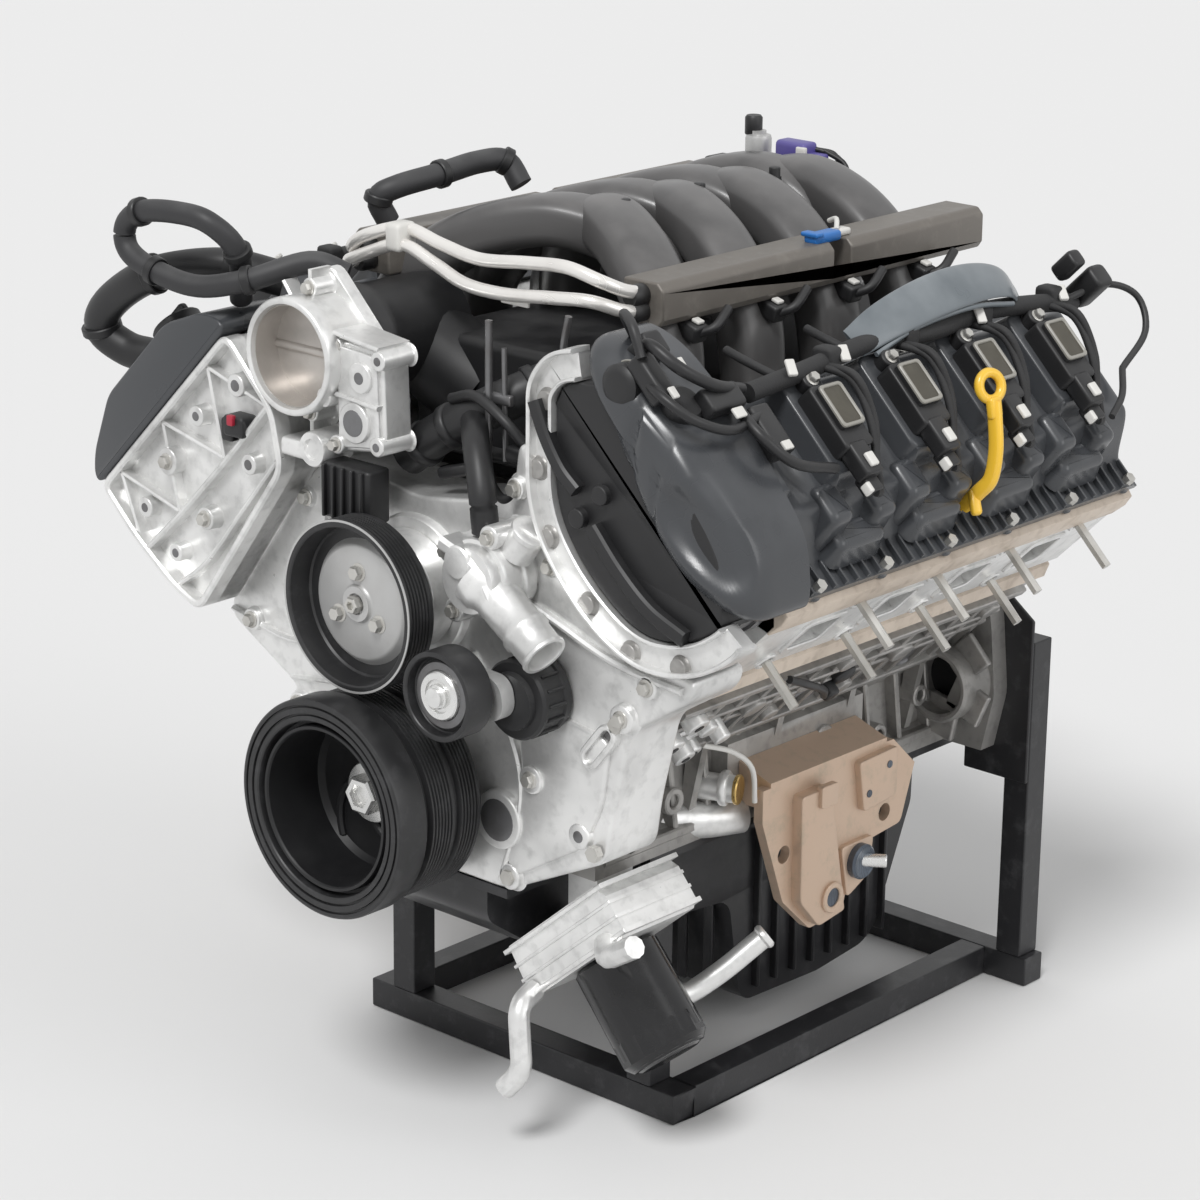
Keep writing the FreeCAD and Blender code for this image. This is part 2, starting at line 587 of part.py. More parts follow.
def chain_guides():
    """A straight guide on one side of each long chain and a sprung arm on the other."""
    guides = []
    for side, row in ((1, "left_chain"), (-1, "right_chain")):
        top = on_bank(side, -size("cam_offset"), 0, size("cam_height"))
        along = Vector(top).normalize()
        across = Vector(along.z, 0, -along.x)
        for sign in (1, -1):
            low = along * 70 + across * (sign * 38.6)
            high = along * 270 + across * (sign * 52)
            run = high - low
            bar = Part.makeBox(8, size("chain_width"), run.Length)
            bar.translate(Vector(-4, -size("chain_width"), 0))
            bar.Placement = Placement(low + Vector(0, -size(row), 0),
                                      Rotation(Vector(0, 1, 0), math.degrees(math.atan2(run.x, run.z)))
                                      ).multiply(bar.Placement)
            guides.append(bar)
    collect("chain_guides", guides)


def crank_sprocket():
    sprocket = SubPart("crank_sprocket")
    sprocket.pad(start="left_chain - 2", length=30, circles=[(0, 0, "crank_sprocket")])
    sprocket.cut(start="left_chain - 3", length=32, circles=[(0, 0, "snout_radius")])


# ---------------------------------------------------------------- covers

DOME = [(-141, 328, 12), (-90, 276, 20), (-20, 262, 50), (60, 276, 40), (104, 325, 30), (117, 382, 6),
        (104, 400, 10), (60, 440, 40), (-30, 452, 60), (-120, 442, 30), (-166, 395, 20), (-166, 352, 12)]
LOW_DOME = [(-120, 380), (112, 380), (112, 390, 6), (96, 404, 12), (44, 428, 40), (-62, 428, 40),
            (-106, 408, 20), (-120, 392, 8)]
WING = [(86, 228), (100, 262), (110, 320), (112, 379), (-120, 379), (-120, 300), (-92, 256)]


def chain_passage(start, end, slack=11):
    """The strip that a bank's long chain needs, between two distances along it from the crankshaft."""
    reach = Vector(-size("cam_offset"), size("cam_height"), 0)
    along = Vector(reach).normalize()
    across = Vector(along.y, -along.x, 0)
    outside = size("chain_gap") + size("chain_depth") + slack
    small, large = size("crank_sprocket"), size("cam_sprocket")
    strip = []
    for distance, sides in ((start, (1, -1)), (end, (-1, 1))):
        half = small + (large - small) * distance / reach.Length + outside
        strip += [along * distance + across * (half * sign) for sign in sides]
    return [(round(spot.x, 3), round(spot.y, 3)) for spot in strip]


def cam_cover(side):
    """The moulded cover: a deep tray over the cams, which swells into a dome over the timing drive."""
    cover = SubPart("cam_cover_left" if side > 0 else "cam_cover_right", bank_place(side), side)
    rear = "left_rear - 4" if side > 0 else "left_rear + bank_shift - 4"
    top = "cover_top"
    lip = "head_half + 6"
    section = [("-(%s)" % lip, "head_top"), (lip, "head_top"), (lip, "head_top + 8"),
               ("head_half - 6", "head_top + 8"), ("head_half - 8", "head_top + 22", 8),
               (34, top, 26), (-58, top, 20), ("6 - head_half", "head_top + 14"), ("6 - head_half", "head_top + 8"),
               ("-(%s)" % lip, "head_top + 8")]
    cover.pad(section, rear, "block_length - (%s)" % rear)
    inner = [("10 - head_half", "head_top - 1"), ("head_half - 10", "head_top - 1"),
             ("head_half - 13", "head_top + 20"), (32, "cover_top - cover_wall"),
             (-56, "cover_top - cover_wall"), ("11 - head_half", "head_top + 14")]
    cover.cut(inner, "%s + cover_wall" % rear, "block_length - (%s)" % rear)
    for index in range(4):
        cover.pad([(-30, "cover_top - 1"), (-26, "coil_seat"), (16, "coil_seat"), (24, "cover_top - 1")],
                  "%s - 22" % bore_station(side, index), 44)
    wells = [(0, "-(%s)" % bore_station(side, index), "well_radius") for index in range(4)]
    cover.cut(start="cover_top - cover_wall - 1", length=40, plane="XY_Plane", circles=wells)
    mouth = [(-74, 350), (74, 350), (70, 398), (30, 422), (-54, 422), (-74, 392)]
    if side > 0:
        cover.cut(start="head_top", length=60, plane="XY_Plane", circles=[(63, -259, 4)])
        cover.pad(DOME, "block_length", "bulge_front - block_length")
        cover.cut(grown(DOME, -5), "block_length + 5", "bulge_front - block_length - 10")
        cover.cut(mouth, "block_length - 1", 8)
        cover.cut(box("-trough_half", "trough_half", "trough_floor", 352), "block_length - 1", 8)
        cover.cut(chain_passage(200, 300), "left_chain - 6", 22)
    else:
        cover.pad(LOW_DOME, "block_length", "wing_front - block_length")
        cover.cut(grown(LOW_DOME, -5), "block_length + 5", "wing_front - block_length - 10")
        cover.cut(box(-115, 107, 379, 387), "block_length + 5", "wing_front - block_length - 10")
        cover.cut(mouth, "block_length - 1", 8)
        cover.cut(start="cover_top - cover_wall - 2", length=20, plane="XY_Plane", circles=[(-34, -560, 17)])
    return cover


def front_cover():
    """The timing cover: a deep tray on the block's front face, with a wing up over the right bank's drive."""
    cover = SubPart("front_cover")
    rim = in_front_view(1, grown([(104, 325, 30), (60, 276, 40), (-20, 262, 50), (-90, 276, 20),
                                  (-120, 306.6), (0, 400)], 0.5)[1:5])
    centre = [(100, -75), (208, -22, 10), (214, 20, 20), (232, 96, 20), (290, 132, 8), (296, 152)] + rim + [
        (110, 308, 6), (104, 262, 20), (60, 250, 30), (0, 240, 40), (-60, 250, 30), (-116, 246), (-225, 108),
        (-228, 88, 8), (-178, 60, 20), (-146, 42, 12), (-141, -20, 20), (-108, -75)]
    wing = in_front_view(-1, WING)
    cover.pad(centre, "block_length", "cover_front - block_length")
    cover.pad(wing, "block_length", "wing_front - block_length")
    cover.cut(grown(centre, -size("case_wall")), "block_length - 1", "cover_front - block_length - case_wall + 1")
    cover.cut(grown(wing, -size("case_wall")), "block_length - 1", "wing_front - block_length - case_wall + 1")
    cover.cut(in_front_view(-1, [(-113, 370), (105, 370), (105, 380), (-113, 380)]),
              "block_length - 1", "wing_front - block_length - case_wall + 1")
    cover.cut(in_front_view(1, chain_passage(200, 300)), "left_chain - 6", 22)
    cover.cut(in_front_view(-1, chain_passage(160, 300)), "left_chain - 6", 34)
    cover.pad(start="cover_front - 3", length=15, circles=[(0, 0, "seal_boss")])
    cover.pad(start="cover_front - 3", length=9, circles=[(0, "pump_height", 60)])
    cover.cut(start="cover_front - 20", length=40, circles=[(0, 0, "hub_radius + 1")])
    return cover


def crank_seal():
    seal = SubPart("crank_seal")
    seal.turned([("-cover_front - 12", "hub_radius + running_gap"), ("-cover_front - 12", "seal_boss - 4"),
                 ("-cover_front - 16", "seal_boss - 4"), ("-cover_front - 16", "hub_radius + running_gap")])


# ---------------------------------------------------------------- damper, pump and tensioner

def damper():
    hub = SubPart("damper_hub")
    hub.turned([(-545, "snout_radius"), (-545, "hub_radius"), ("-hub_web", "hub_radius"),
                ("6 - hub_web", "hub_radius + 12"), ("6 - hub_web", "rubber_inner - 6"),
                ("-damper_rear - 4", "rubber_inner - 6"), ("-damper_rear - 4", "rubber_inner"),
                ("8 - damper_front", "rubber_inner"), ("8 - damper_front", "rubber_inner - 5"),
                ("-hub_web - 10", "rubber_inner - 9"), ("-hub_web - 10", "hub_radius"),
                ("-snout_end", "hub_radius"), ("-snout_end", "snout_radius")])
    rubber = SubPart("damper_rubber")
    rubber.turned([("-damper_rear - 5", "rubber_inner"), ("-damper_rear - 5", "ring_inner"),
                   ("12 - damper_front", "ring_inner"), ("12 - damper_front", "rubber_inner")])
    ring = SubPart("damper_ring")
    ring.turned([("-damper_rear", "ring_inner"), ("-damper_rear", "damper_radius - 3"),
                 ("-damper_rear - 30", "damper_radius - 3"), ("-damper_rear - 33", "damper_radius - 8"),
                 ("-damper_rear - 39", "damper_radius - 8"), ("-damper_rear - 42", "damper_radius"),
                 ("2 - damper_front", "damper_radius"), ("-damper_front", "damper_radius - 2"),
                 ("-damper_front", "ring_inner")])


def crank_bolt():
    bolt = SubPart("crank_bolt")
    bolt.pad(start="snout_end", length=4, circles=[(0, 0, 26)])
    bolt.pad([(17 * math.cos(math.radians(60 * k)), 17 * math.sin(math.radians(60 * k))) for k in range(6)],
             "snout_end + 3", 14)


def flexplate():
    plate = SubPart("flexplate")
    plate.pad(start=-11, length=3, circles=[(0, 0, 136)])
    plate.pad(start=-14, length=10, circles=[(0, 0, 144), (0, 0, 132)])
    holes = []
    for index in range(4):
        turn = math.radians(45 + 90 * index)
        holes.append((120 * math.cos(turn), 120 * math.sin(turn), 5.5))
        holes.append((85 * math.cos(turn + 0.785), 85 * math.sin(turn + 0.785), 18))
    plate.cut(start=-12, length=5, circles=holes + [(0, 0, "pilot_radius + 6")])


def water_pump():
    body = SubPart("water_pump_body")
    body.pad(start="cover_front + 6", length=26, circles=[(0, "pump_height", 50)])
    body.pad(start="cover_front + 31", length=14, circles=[(0, "pump_height", 24)])
    body.cut(start="cover_front + 20", length=40, circles=[(0, "pump_height", "12 + running_gap")])
    pulley = SubPart("water_pump_pulley", Placement(Vector(0, 0, size("pump_height")), Rotation()))
    pulley.turned([("-cover_front - 24", 0), ("-cover_front - 24", 12), ("-cover_front - 46", 12),
                   ("-cover_front - 46", 22), ("-cover_front - 52", 22), ("-cover_front - 52", "pump_pulley"),
                   ("-pulley_front", "pump_pulley"), ("-pulley_front", "pump_pulley - 6"),
                   ("-cover_front - 60", "pump_pulley - 9"), ("-cover_front - 60", 52),
                   ("-cover_front - 66", 46), ("-cover_front - 66", 0)])
    for k in range(3):
        turn = math.radians(120 * k)
        x, z = 26 * math.sin(turn), 26 * math.cos(turn)
        pulley.pad([(x + 7 * math.cos(math.radians(60 * j)), z + 7 * math.sin(math.radians(60 * j)))
                    for j in range(6)], "cover_front + 65", 7)


def tensioner():
    housing = SubPart("tensioner_housing")
    housing.pad(start="cover_front", length=40, circles=[("arm_x", "arm_z", 33)])
    arm = SubPart("tensioner_arm")
    arm.pad([("idler_x - 4", "idler_z + 15", 12), ("arm_x + 4", "arm_z + 22", 16), ("arm_x + 12", "arm_z - 20", 16),
             ("idler_x - 8", "idler_z - 15", 12)], "cover_front + 40.5", 14)
    arm.pad(start="cover_front + 54", length=38, circles=[("idler_x", "idler_z", 7.95)])
    pulley = SubPart("tensioner_pulley", Placement(Vector(size("idler_x"), 0, size("idler_z")), Rotation()))
    pulley.turned([("-cover_front - 61", 8), ("-cover_front - 61", "idler_radius"),
                   ("-cover_front - 89", "idler_radius"), ("-cover_front - 89", "idler_radius - 5"),
                   ("-cover_front - 84", "idler_radius - 7"), ("-cover_front - 84", 18),
                   ("-cover_front - 88", 14), ("-cover_front - 88", 8)])


def thermostat_housing():
    body = SubPart("thermostat_housing")
    body.pad(start="cover_front", length=44, circles=[(98, 200, 33)])
    outlet = rod(Vector(104, -588, 196), Vector(172, -592, 152), 19)
    bore = rod(Vector(120, -589, 185.6), Vector(173, -592, 151.3), 16)
    merged = body.body.Shape.fuse(outlet).cut(bore)
    NODES.remove(body.body)
    body.body.Label = "thermostat_pattern"
    collect("thermostat_housing", merged.removeSplitter().Solids)


# ---------------------------------------------------------------- air, fuel and spark

def runner_outline(side):
    """One runner seen along the crankshaft: from its port, up and over the valley to the far side."""
    return [("%d*%s" % (side, c[0]),) + tuple(c[1:]) for c in (
        (160, 301), (152, 346, 12), (117, 370, 14), (115, 438, 40), (20, "runner_top", 90), (-78, 440, 40),
        (-84, 340), (-34, 340), (-34, 404, 24), (20, 414, 60), (62, 402, 24), (66, 330, 20), (124, 266))]


def intake_manifold():
    manifold = SubPart("intake_manifold")
    manifold.pad([("-plenum_half", "plenum_base"), ("plenum_half", "plenum_base"), ("plenum_half + 8", 300, 20),
                  ("plenum_half - 20", 350), ("20 - plenum_half", 350), ("-plenum_half - 8", 300, 20)],
                 70, 400)
    for side in (1, -1):
        flange = [("%d*(%d)/sqrt(2)" % (side, u + v), "(%d)/sqrt(2)" % (u - v)) for v, u in
                  ((-86.2, 274), (-86.2, 328), (-100, 328), (-100, 274))]
        manifold.pad(flange, 72 if side > 0 else 91, 376)
        for index in range(4):
            spread = math.degrees(math.atan((17 + 19 * index) / 145))
            start = size(bore_station(side, index)) - 130 * math.tan(math.radians(spread))
            turn = Placement(Vector(0, 0, 0), Rotation(Vector(0, 1, 0), 0))
            lean = Rotation(Vector(0, 1, 0), side * spread)
            half = size("runner_width") / 2
            turn = Placement(Vector(0, 0, start) + lean.multVec(Vector(0, 0, -half)), lean)
            manifold.pad(runner_outline(side), 0, "runner_width", turn=turn)
    manifold.pad(start=437, length=111, circles=[("throttle_x", "throttle_z", "throttle_rim - 3")])
    manifold.cut([("12 - plenum_half", "plenum_base + 8"), ("plenum_half - 12", "plenum_base + 8"),
                  ("plenum_half - 8", 298), ("plenum_half - 24", 340), ("24 - plenum_half", 340),
                  ("8 - plenum_half", 298)], 78, 384)
    manifold.cut(start=455, length=94, circles=[("throttle_x", "throttle_z", "throttle_bore")])
    return manifold


def throttle_body():
    body = SubPart("throttle_body")
    body.pad([("throttle_x - 72", "throttle_z", 14), ("throttle_x", "throttle_z - 72", 14),
              ("throttle_x + 72", "throttle_z", 14), ("throttle_x", "throttle_z + 72", 14)], 548, 12)
    body.pad(start=559, length=36, circles=[("throttle_x", "throttle_z", "throttle_rim - 2")])
    body.pad(start="throttle_front - inlet_lip", length="inlet_lip",
             circles=[("throttle_x", "throttle_z", "throttle_rim")])
    body.pad([("throttle_x + 40", "throttle_z - 74", 12), ("throttle_x + 96", "throttle_z - 66", 12),
              ("throttle_x + 92", "throttle_z + 16", 12), ("throttle_x + 36", "throttle_z + 20", 12)], 560, 34)
    body.cut(start=540, length=80, circles=[("throttle_x", "throttle_z", "throttle_bore")])
    body.cut(start="throttle_x - 60", length=110, plane="YZ_Plane", circles=[(-578, "throttle_z", 4.05)])
    blade = SubPart("throttle_plate")
    blade.pad(start=577, length=2, circles=[("throttle_x", "throttle_z", "throttle_bore - 0.1")])
    blade.pad(start="throttle_x - 56", length=104, plane="YZ_Plane", circles=[(-578, "throttle_z", 4)])


def fuel_system():
    rails = []
    for side in (1, -1):
        rear = 25 if side > 0 else 44
        rail = SubPart("rail_pattern", None, side, keep=False)
        rail.pad([("rail_near", "rail_base"), ("rail_far - 4", "rail_base"), ("rail_far", "rail_base + 6"),
                  ("rail_far", "rail_top - 6"), ("rail_far - 6", "rail_top"), ("rail_near", "rail_top")],
                 rear, 425)
        rail.cut(box("rail_near + 8", "rail_far + 1", "rail_base + 8", "rail_top + 1"), rear + 185, 22)
        rails += rail.body.Shape.Solids
    collect("fuel_rails", rails)
    injectors = []
    for side in (1, -1):
        for index in range(4):
            station = size(bore_station(side, index))
            injectors.append(rod(Vector(side * 141, -station, 361), Vector(side * 141, -station, 388), 7))
    collect("fuel_injectors", injectors)
    pipes = []
    for rise in (0, 12):
        start = 400 + rise
        route = [Vector(143, -450.5, start), Vector(143, -484 - rise * 0.3, start), Vector(90, -496, 424 + rise),
                 Vector(-10, -492, 432 + rise), Vector(-81, -488, 428 + rise), Vector(-143, -500, start),
                 Vector(-143, -469.5, start)]
        pipes.append(tube_along(route, 5.5, 8))
    collect("fuel_pipes", pipes)


def coils_and_plugs():
    coils = []
    plugs = []
    for side in (1, -1):
        for index in range(4):
            station = size(bore_station(side, index))
            head = Part.makeBox(62, 36, 22, Vector(-48 if side > 0 else -14, -station - 18, size("coil_seat")))
            boot = Part.makeCylinder(10, size("coil_seat") - 312, Vector(0, -station, 312))
            coil = head.fuse(boot).removeSplitter()
            coil.Placement = bank_place(side)
            coils += coil.Solids
            plugs.append(rod(on_bank(side, 0, station, 236), on_bank(side, 0, station, 262), 7))
            body = hexagon(on_bank(side, 0, station, 262), on_bank(side, 0, station, 311), 9)
            plugs[-1] = plugs[-1].fuse(body)
    collect("ignition_coils", coils)
    collect("spark_plugs", plugs)


def wiring_harness():
    """The loom that runs along the coils' inboard side on each bank, over to the rear."""
    looms = []
    for side in (1, -1):
        shift = 0 if side > 0 else 19
        route = [on_bank(side, -66, 470 + shift, 446), on_bank(side, -62, 380 + shift, 452),
                 on_bank(side, -66, 290 + shift, 446), on_bank(side, -60, 200 + shift, 453),
                 on_bank(side, -66, 110 + shift, 446), on_bank(side, -72, 40 + shift, 452)]
        looms.append(tube_along(route, 8, 8))
    collect("wiring_harness", looms)


# ---------------------------------------------------------------- oil side

def oil_pump():
    pump = SubPart("oil_pump")
    pump.pad([(-44, -30, 14), (0, -70, 20), (44, -30, 14), (40, 34, 20), (-40, 34, 20)], "block_length", 16)
    pump.cut(start="block_length - 1", length=18, circles=[(0, 0, "snout_radius + 0.5")])


def oil_pan():
    pan = SubPart("oil_pan")
    flange = [("-pan_half", 0), ("-pan_half", -424), ("-pan_front_half", -426), ("-pan_front_half", -558),
              ("pan_front_half", -558), ("pan_front_half", -426), ("pan_half", -424), ("pan_half", 0)]
    pan.pad(flange, "-rail_drop - 8", 8, plane="XY_Plane")
    base = "-rail_drop - 7"
    deep = [(-4, base), (-6, -150, 20), (-60, "-sump_depth + 8", 40), (-140, "-sump_depth", 60),
            (-250, "-sump_depth + 4", 20), (-268, -172, 20), (-400, -160, 30), (-418, base)]
    shallow = [(-262, base), (-262, -172), (-480, -162, 40), (-552, -112, 20), (-552, base)]
    pan.pad(deep, -96, 192, plane="YZ_Plane")
    pan.pad(shallow, -96, 168, plane="YZ_Plane")
    open_top = "-rail_drop + 1"
    pan.cut([(-8, open_top), (-10, -149), (-63, "-sump_depth + 12"), (-140, "-sump_depth + 4"),
             (-245, "-sump_depth + 8"), (-263, -167), (-398, -155), (-413, open_top)], -92, 184, plane="YZ_Plane")
    pan.cut([(-262, open_top), (-262, -166), (-478, -157), (-547, -110), (-547, open_top)], -92, 160,
            plane="YZ_Plane")
    return pan


def oil_pickup():
    pipe = tube_along([Vector(20, -500, -78), Vector(20, -486, -120), Vector(16, -300, -130),
                       Vector(12, -236, -150), Vector(10, -205, -190), Vector(10, -205, -262)], 9, 8)
    foot = Part.makeCylinder(26, 8, Vector(10, -205, -268))
    collect("oil_pickup", [pipe.fuse(foot).removeSplitter()])


COOLER_AXIS = Vector(0.65, 0, -0.76)
COOLER_SIDE = Vector(0.76, 0, 0.65)
COOLER_ROOT = Vector(122, 0, -92)


def cooler_point(along, across):
    """A point of the cooler's section, from its axis and its side direction."""
    spot = COOLER_ROOT + COOLER_AXIS * along + COOLER_SIDE * across
    return (spot.x, spot.z)


def oil_cooler():
    cooler = SubPart("oil_cooler")
    corners = [cooler_point(8, -60), cooler_point(8, 62), cooler_point(20, 70), cooler_point(50, 70),
               cooler_point(56, 62), cooler_point(56, -50), cooler_point(46, -64)]
    cooler.pad([(round(x, 2), round(z, 2)) for x, z in corners], "cooler_rear", "cooler_front - cooler_rear")
    cooler.pad([(106, "-rail_drop"), (138, "-rail_drop"), (138, -96), (106, -122)], "cooler_rear", 44)
    start = COOLER_ROOT + COOLER_AXIS * 56 + Vector(0, -491, 0)
    lean = Rotation(Vector(0, 0, 1), COOLER_AXIS)
    can = SubPart("oil_filter", Placement(start, lean))
    can.turned([(0, 0), ("filter_radius - 4", 0), ("filter_radius", 4), ("filter_radius", "filter_length - 14"),
                ("filter_radius - 4", "filter_length - 4"), ("filter_radius - 12", "filter_length"),
                (0, "filter_length")], plane="XZ_Plane", axis="V_Axis")
    low = COOLER_ROOT + COOLER_AXIS * 50 - COOLER_SIDE * 57
    nipples = [tube_along([low + Vector(0, -536, 0), low + Vector(4, -560, -6), low + Vector(14, -566, -60),
                           low + Vector(0, -572, -78)], 9.5, 10),
               tube_along([low + Vector(78, -536, 66), low + Vector(92, -552, 60), low + Vector(130, -560, 84)],
                          9.5, 10)]
    NODES.remove(cooler.body)
    cooler.body.Label = "cooler_pattern"
    collect("oil_cooler", cooler.body.Shape.multiFuse(nipples).removeSplitter().Solids)


# ---------------------------------------------------------------- small outside pieces

def dipstick():
    blade = rod(on_bank(1, 63, 259, 32), on_bank(1, 63, 259, 424), 2.4)
    grip = tube_along([on_bank(1, 63, 259, 420), on_bank(1, 62, 257, 436), on_bank(1, 36, 250, 464),
                       on_bank(1, 8, 245, 478)], 5, 8)
    collect("dipstick", [blade.fuse(grip).removeSplitter()])


def hoses():
    """Coolant pipe over the timing case with the thermostat's hose, the breather loop and duct of the
    right cam cover, and the vapour hose from the right fuel rail to the runners."""
    pipe = tube_along([Vector(84, -484, 340), Vector(58, -520, 324), Vector(4, -538, 290), Vector(-28, -541, 266)],
                      17, 10)
    branch = tube_along([Vector(98, -582, 234), Vector(96, -584, 268), Vector(72, -566, 300), Vector(34, -529, 309)],
                        11, 8)
    loop = tube_along([Vector(-205, -560, 372), Vector(-182, -586, 420), Vector(-194, -604, 445),
                       Vector(-286, -604, 429), Vector(-300, -604, 412), Vector(-278, -604, 394),
                       Vector(-228, -602, 384), Vector(-168, -586, 396), Vector(-130, -546, 414),
                       Vector(-106, -531, 403)], 9, 8)
    duct = tube_along([Vector(-322, -556, 300), Vector(-352, -562, 304), Vector(-384, -574, 322),
                       Vector(-346, -574, 352), Vector(-292, -570, 382), Vector(-236, -546, 392),
                       Vector(-200, -512, 380)], 15, 10)
    vapour = tube_along([Vector(-146, -446, 429), Vector(-150, -454, 448), Vector(-134, -440, 460),
                         Vector(-128, -396, 468), Vector(-134, -350, 470), Vector(-118, -326, 464),
                         Vector(-106, -324, 446)], 9, 8)
    collect("hoses", pipe.fuse(branch).removeSplitter().Solids + [loop, duct, vapour])


def oil_cap():
    cap = SubPart("oil_cap", bank_place(-1).multiply(Placement(Vector(34, -560, 0), Rotation())))
    cap.pad(start="cover_top", length=14, plane="XY_Plane", circles=[(0, 0, 24)])
    cap.pad(box(-5, 5, -22, 22), "cover_top + 13", 9, plane="XY_Plane")
    cap.pad(start="cover_top - 12", length=13, plane="XY_Plane", circles=[(0, 0, 16.9)])


def exhaust_studs():
    studs = []
    for side in (1, -1):
        for index in range(4):
            station = size(bore_station(side, index))
            for offset, height in STUD_PLACES:
                studs.append(hexagon(on_bank(side, size("port_face") - 1, station + offset, height),
                                     on_bank(side, size("port_face") + 45, station + offset, height), 4.5))
    collect("exhaust_studs", studs)


def cover_bolts():
    """Hex heads along the cam covers' rims and round the front cover."""
    bolts = []
    for side in (1, -1):
        shift = 0 if side > 0 else size("bank_shift")
        for index in range(6):
            station = 40 + shift + 84 * index
            for outboard in (86.2, -86.2):
                bolts.append(hexagon(on_bank(side, outboard, station, size("head_top") + 8),
                                     on_bank(side, outboard, station, size("head_top") + 15), 5))
    front = -size("cover_front")
    for x, z in ((107, -60), (200, -14), (222, 100), (-107, -60), (-140, 30)):
        bolts.append(hexagon(Vector(x, front, z), Vector(x, front - 7, z), 7))
    collect("cover_bolts", bolts)


def mount_brackets():
    pieces = []
    for side in (1, -1):
        bracket = SubPart("bracket_pattern", None, side, keep=False)
        near = "skirt_half + 18"
        bracket.pad([(near, -52), ("skirt_half + 44", -52), ("skirt_half + 54", -60), ("skirt_half + 54", -26),
                     (near, -14)], 160, 160)
        start = "skirt_half + 44" if side > 0 else "-skirt_half - 54"
        bracket.pad([(-330, -60), (-300, -140, 8), (-262, -176, 8), (-216, -172, 8), (-202, -118, 8),
                     (-136, -112, 8), (-118, -60), (-150, -30), (-330, -30)], start, 10, plane="YZ_Plane")
        bracket.cut(start=start, length=12, plane="YZ_Plane",
                    circles=[(-300, -96, 8), (-160, -96, 8)])
        pieces += bracket.body.Shape.Solids
    collect("mount_brackets", pieces)


def stand():
    tube = size("tube")
    ground = -size("ground")
    side_out = size("side_rail_out")
    front = -size("front_rail")
    rear = size("rear_rail_gap")

    def bar(x0, x1, y0, y1, z0, z1):
        return Part.makeBox(x1 - x0, y1 - y0, z1 - z0, Vector(x0, y0, z0))

    half = size("rear_half")
    top = ground + tube
    rails = [bar(-side_out, side_out, front, front + tube, ground, top),
             bar(-half, half, rear, rear + tube, ground, top)]
    posts = []
    plates = []
    for side in (1, -1):
        x0, x1 = sorted((side * (side_out - tube), side * side_out))
        rails.append(bar(x0, x1, front + tube, rear, ground, top))
        x0, x1 = sorted((side * (size("post_out") - tube), side * size("post_out")))
        posts.append(bar(x0, x1, rear, rear + tube, top, size("rear_post_top")))
        x0, x1 = sorted((side * size("front_post_in"), side * (size("front_post_in") + tube)))
        posts.append(bar(x0, x1, front, front + tube, top, -size("rail_drop") - 8))
        corners = [Vector(side * x, 0, z) for x, z in ((150, -104), (220, -104), (220, 51), (189, 74), (150, 70))]
        plates.append(Part.Face(Part.makePolygon(corners + corners[:1])).extrude(Vector(0, rear, 0)))
    collect("stand_rails", rails)
    collect("stand_posts", posts + plates)


# ---------------------------------------------------------------- build, check and write

def build():
    cylinder_block()
    main_bearing_caps()
    crankshaft()
    connecting_rods()
    for side in (1, -1):
        for index in range(4):
            piston(side, index)
    flexplate()
    crank_sprocket()
    crank_seal()
    damper()
    crank_bolt()
    head_gaskets()
    cylinder_head(1)
    cylinder_head(-1)
    cam_bridges()
    for side in (1, -1):
        for intake in (True, False):
            camshaft(side, intake)
    timing_chains()
    chain_guides()
    cam_cover(1)
    cam_cover(-1)
    front_cover()
    water_pump()
    tensioner()
    thermostat_housing()
    intake_manifold()
    throttle_body()
    fuel_system()
    coils_and_plugs()
    wiring_harness()
    oil_pump()
    oil_pan()
    oil_pickup()
    oil_cooler()
    dipstick()
    hoses()
    oil_cap()
    exhaust_studs()
    cover_bolts()
    mount_brackets()
    stand()


def check_and_write():
    doc.recompute()
    bad = [thing.Name for thing in doc.Objects if "Invalid" in thing.State or "Error" in thing.State]
    if bad:
        raise RuntimeError("failed objects: %s" % bad)
    names = [node.Label for node in NODES]
    if len(set(names)) != len(names) or len(names) > 60:
        raise RuntimeError("node names: %d" % len(names))
    for node in NODES:
        shape = node.Shape
        if shape.isNull() or not shape.isValid() or not shape.Solids:
            raise RuntimeError("%s has no valid solid" % node.Label)
    for node in NODES:
        node.Shape.exportStep("parts/%s.step" % node.Label)
    print(len(names), "sub-parts written")


build()
check_and_write()
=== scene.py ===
import math

